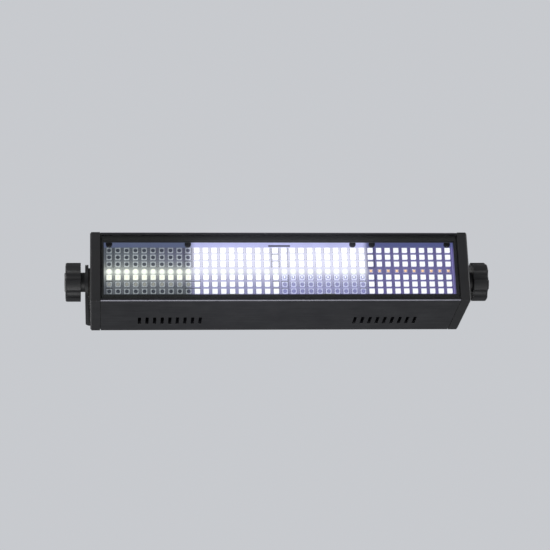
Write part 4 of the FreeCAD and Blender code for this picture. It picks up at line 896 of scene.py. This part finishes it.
def build_panel_marks():
    """Printed signs on the rear panel: arrows into and out of the sockets, and the earth sign."""
    bm = bmesh.new()
    near, far = PANEL_Y - PRINT_SUNK, PANEL_Y + 0.08

    def strip(across, half, low, high):
        outline = [(across - half, low), (across + half, low), (across + half, high), (across - half, high)]
        plate(bm, outline, near, far)

    head = [(-1.5, 0.0), (1.5, 0.0), (0.0, 1.9)]
    shaft = [(-0.4, -1.8), (0.4, -1.8), (0.4, 0.05), (-0.4, 0.05)]
    for across, way in ARROWS:
        for outline in (head, shaft):
            plate(bm, [(across + x, ARROWS_UP + way * z) for x, z in outline], near, far)
        strip(across, 2.4, ARROWS_UP - 2.6, ARROWS_UP - 2.1)
    for step, half in enumerate((2.2, 1.4, 0.6)):
        top = EARTH_UP - 0.6 - step * 0.95
        strip(EARTH_ACROSS, half, top - 0.4, top)
    strip(EARTH_ACROSS, 0.2, EARTH_UP - 0.6, EARTH_UP + 1.8)
    make_piece("panel_marks", bm, "fixture", [MATERIALS["key_print"]], ())


def build_socket_blades():
    """Three blades standing in the slots of each power socket's core."""
    for socket, across in POWER_SOCKETS.items():
        bm = bmesh.new()
        for aside, up in ((-3.0, -1.0), (3.0, -1.0), (0.0, 2.6)):
            block(bm, (across + aside, 18.3, MID_Z + up), (0.7, 6.4, 2.9), 0.22)
        make_piece(f"{socket}_blades", bm, "fixture", [MATERIALS["contact_brass"]], ())


def build_knob_caps():
    """A shallow dished cap on the end of each lock knob."""
    profile = [(0, 0.35), (3.2, 0.38), (6.6, 0.62), (7.3, 0.85), (8.3, 0.85), (8.9, 0.45), (9.0, -0.3),
               (0, -0.3)]
    for body, side in (("lock_left", -1), ("lock_right", 1)):
        bm = bmesh.new()
        lathe(bm, (side * KNOB_END, PIVOT_Y, MID_Z), (side, 0, 0), profile, 56)
        make_piece(f"{body}_cap", bm, body, [MATERIALS["knob_cap"]], ())


build_display()
build_key_marks()
build_panel_marks()
build_socket_blades()
build_knob_caps()


# ------------------------------------------------------------------------------------------ stage


FLOOR_REACH = 9.0
FLOOR_LEVEL = -0.0006
BACKDROP = (0.80, 0.82, 0.86, 1.0)
BACKDROP_SEEN = 0.72
BACKDROP_LIGHT = 0.34
FLOOR_FADE = (0.7, 3.2)
AIM = (0, 0, 0.03)
# Name, place in metres, side in metres, power in watts.
LIGHTS = (
    ("key", (-1.3, -1.6, 1.5), 1.2, 24.0),
    ("fill", (1.6, -1.2, 0.6), 1.4, 9.0),
    ("rim", (0.5, 1.8, 1.4), 1.2, 26.0),
    ("back", (-1.6, 1.7, 0.5), 1.2, 18.0),
    ("low", (-0.2, -0.7, -1.7), 1.4, 22.0),
    ("right", (2.0, 0.1, 0.9), 1.2, 14.0),
    ("left", (-2.0, 0.3, 0.7), 1.2, 10.0),
)
BLOOM = {"Threshold": 1.0, "Strength": 0.35, "Size": 0.35, "Tint": (0.80, 0.78, 1.0, 1.0)}
CAMERA_PLACE = (-0.1658, -1.7423, -0.6344)
CAMERA_DEGREES = (111.290, 1.877, -4.690)
CAMERA_LENS = 130.9


def build_floor():
    """A pale floor just under the fixture. It is seen from above only, fades into the backdrop far away, and
    takes shadows without holding back light from below."""
    mesh = bpy.data.meshes.new("floor")
    corners = [(-1, -1), (1, -1), (1, 1), (-1, 1)]
    points = [(x * FLOOR_REACH, y * FLOOR_REACH, FLOOR_LEVEL) for x, y in corners]
    mesh.from_pydata(points, [], [(0, 1, 2, 3)])
    ground = bpy.data.objects.new("floor", mesh)
    bpy.context.scene.collection.objects.link(ground)
    n = Nodes("floor")
    shade = n.ramp(n.noise(6.0, 3.0), 0.78, 0.81)
    n.put(n.shader, "Base Color", n.add("ShaderNodeCombineColor", {0: shade, 1: shade, 2: shade}).outputs[0])
    n.put(n.shader, "Roughness", n.ramp(n.noise(20.0), 0.6, 0.75))
    n.put(n.shader, "Specular IOR Level", 0.2)
    away = n.add("ShaderNodeVectorMath", {0: n.coords()}, operation="LENGTH").outputs["Value"]
    start, end = FLOOR_FADE
    fade = n.add("ShaderNodeMapRange", {"Value": away, "From Min": start, "From Max": end},
                 interpolation_type="SMOOTHSTEP").outputs[0]
    under = n.add("ShaderNodeNewGeometry").outputs["Backfacing"]
    gone = n.add("ShaderNodeBsdfTransparent")
    hidden = n.math("MAXIMUM", fade, under)
    both = n.add("ShaderNodeMixShader", {0: hidden, 1: n.shader.outputs[0], 2: gone.outputs[0]})
    n.tree.links.new(both.outputs[0], n.output.inputs["Surface"])
    mesh.materials.append(n.material)
    ground.visible_diffuse = False
    ground.visible_glossy = False
    ground.visible_shadow = False


def build_backdrop():
    """A pale backdrop, brighter to the camera than the light it gives."""
    world = bpy.data.worlds.new("studio")
    world.use_nodes = True
    tree = world.node_tree
    background = tree.nodes["Background"]
    background.inputs["Color"].default_value = BACKDROP
    seen = tree.nodes.new("ShaderNodeLightPath").outputs["Is Camera Ray"]
    strength = tree.nodes.new("ShaderNodeMapRange")
    strength.inputs["To Min"].default_value = BACKDROP_LIGHT
    strength.inputs["To Max"].default_value = BACKDROP_SEEN
    tree.links.new(seen, strength.inputs["Value"])
    tree.links.new(strength.outputs[0], background.inputs["Strength"])
    bpy.context.scene.world = world
    bpy.context.scene.view_settings.view_transform = "Standard"


def build_lights():
    """Square area lights, all aimed at the fixture."""
    for name, place, size, power in LIGHTS:
        light = bpy.data.lights.new(name, "AREA")
        light.size = size
        light.energy = power
        stand = bpy.data.objects.new(name, light)
        stand.location = place
        stand.rotation_euler = (Vector(AIM) - Vector(place)).to_track_quat("-Z", "Y").to_euler()
        bpy.context.scene.collection.objects.link(stand)


def build_bloom():
    """A soft glow round the brightest LEDs, as a camera shows it."""
    scene = bpy.context.scene
    scene.use_nodes = True
    tree = scene.node_tree
    tree.nodes.clear()
    layers = tree.nodes.new("CompositorNodeRLayers")
    glare = tree.nodes.new("CompositorNodeGlare")
    glare.glare_type = "BLOOM"
    glare.quality = "HIGH"
    for key, value in BLOOM.items():
        glare.inputs[key].default_value = value
    shown = tree.nodes.new("CompositorNodeComposite")
    tree.links.new(layers.outputs["Image"], glare.inputs["Image"])
    tree.links.new(glare.outputs["Image"], shown.inputs["Image"])


def build_camera():
    """The main point of view: in front, low and slightly left, looking up."""
    data = bpy.data.cameras.new("camera")
    data.sensor_width = 36.0
    data.lens = CAMERA_LENS
    camera = bpy.data.objects.new("camera", data)
    camera.location = CAMERA_PLACE
    camera.rotation_euler = tuple(math.radians(angle) for angle in CAMERA_DEGREES)
    bpy.context.scene.collection.objects.link(camera)
    bpy.context.scene.camera = camera


build_floor()
build_backdrop()
build_lights()
build_bloom()
build_camera()
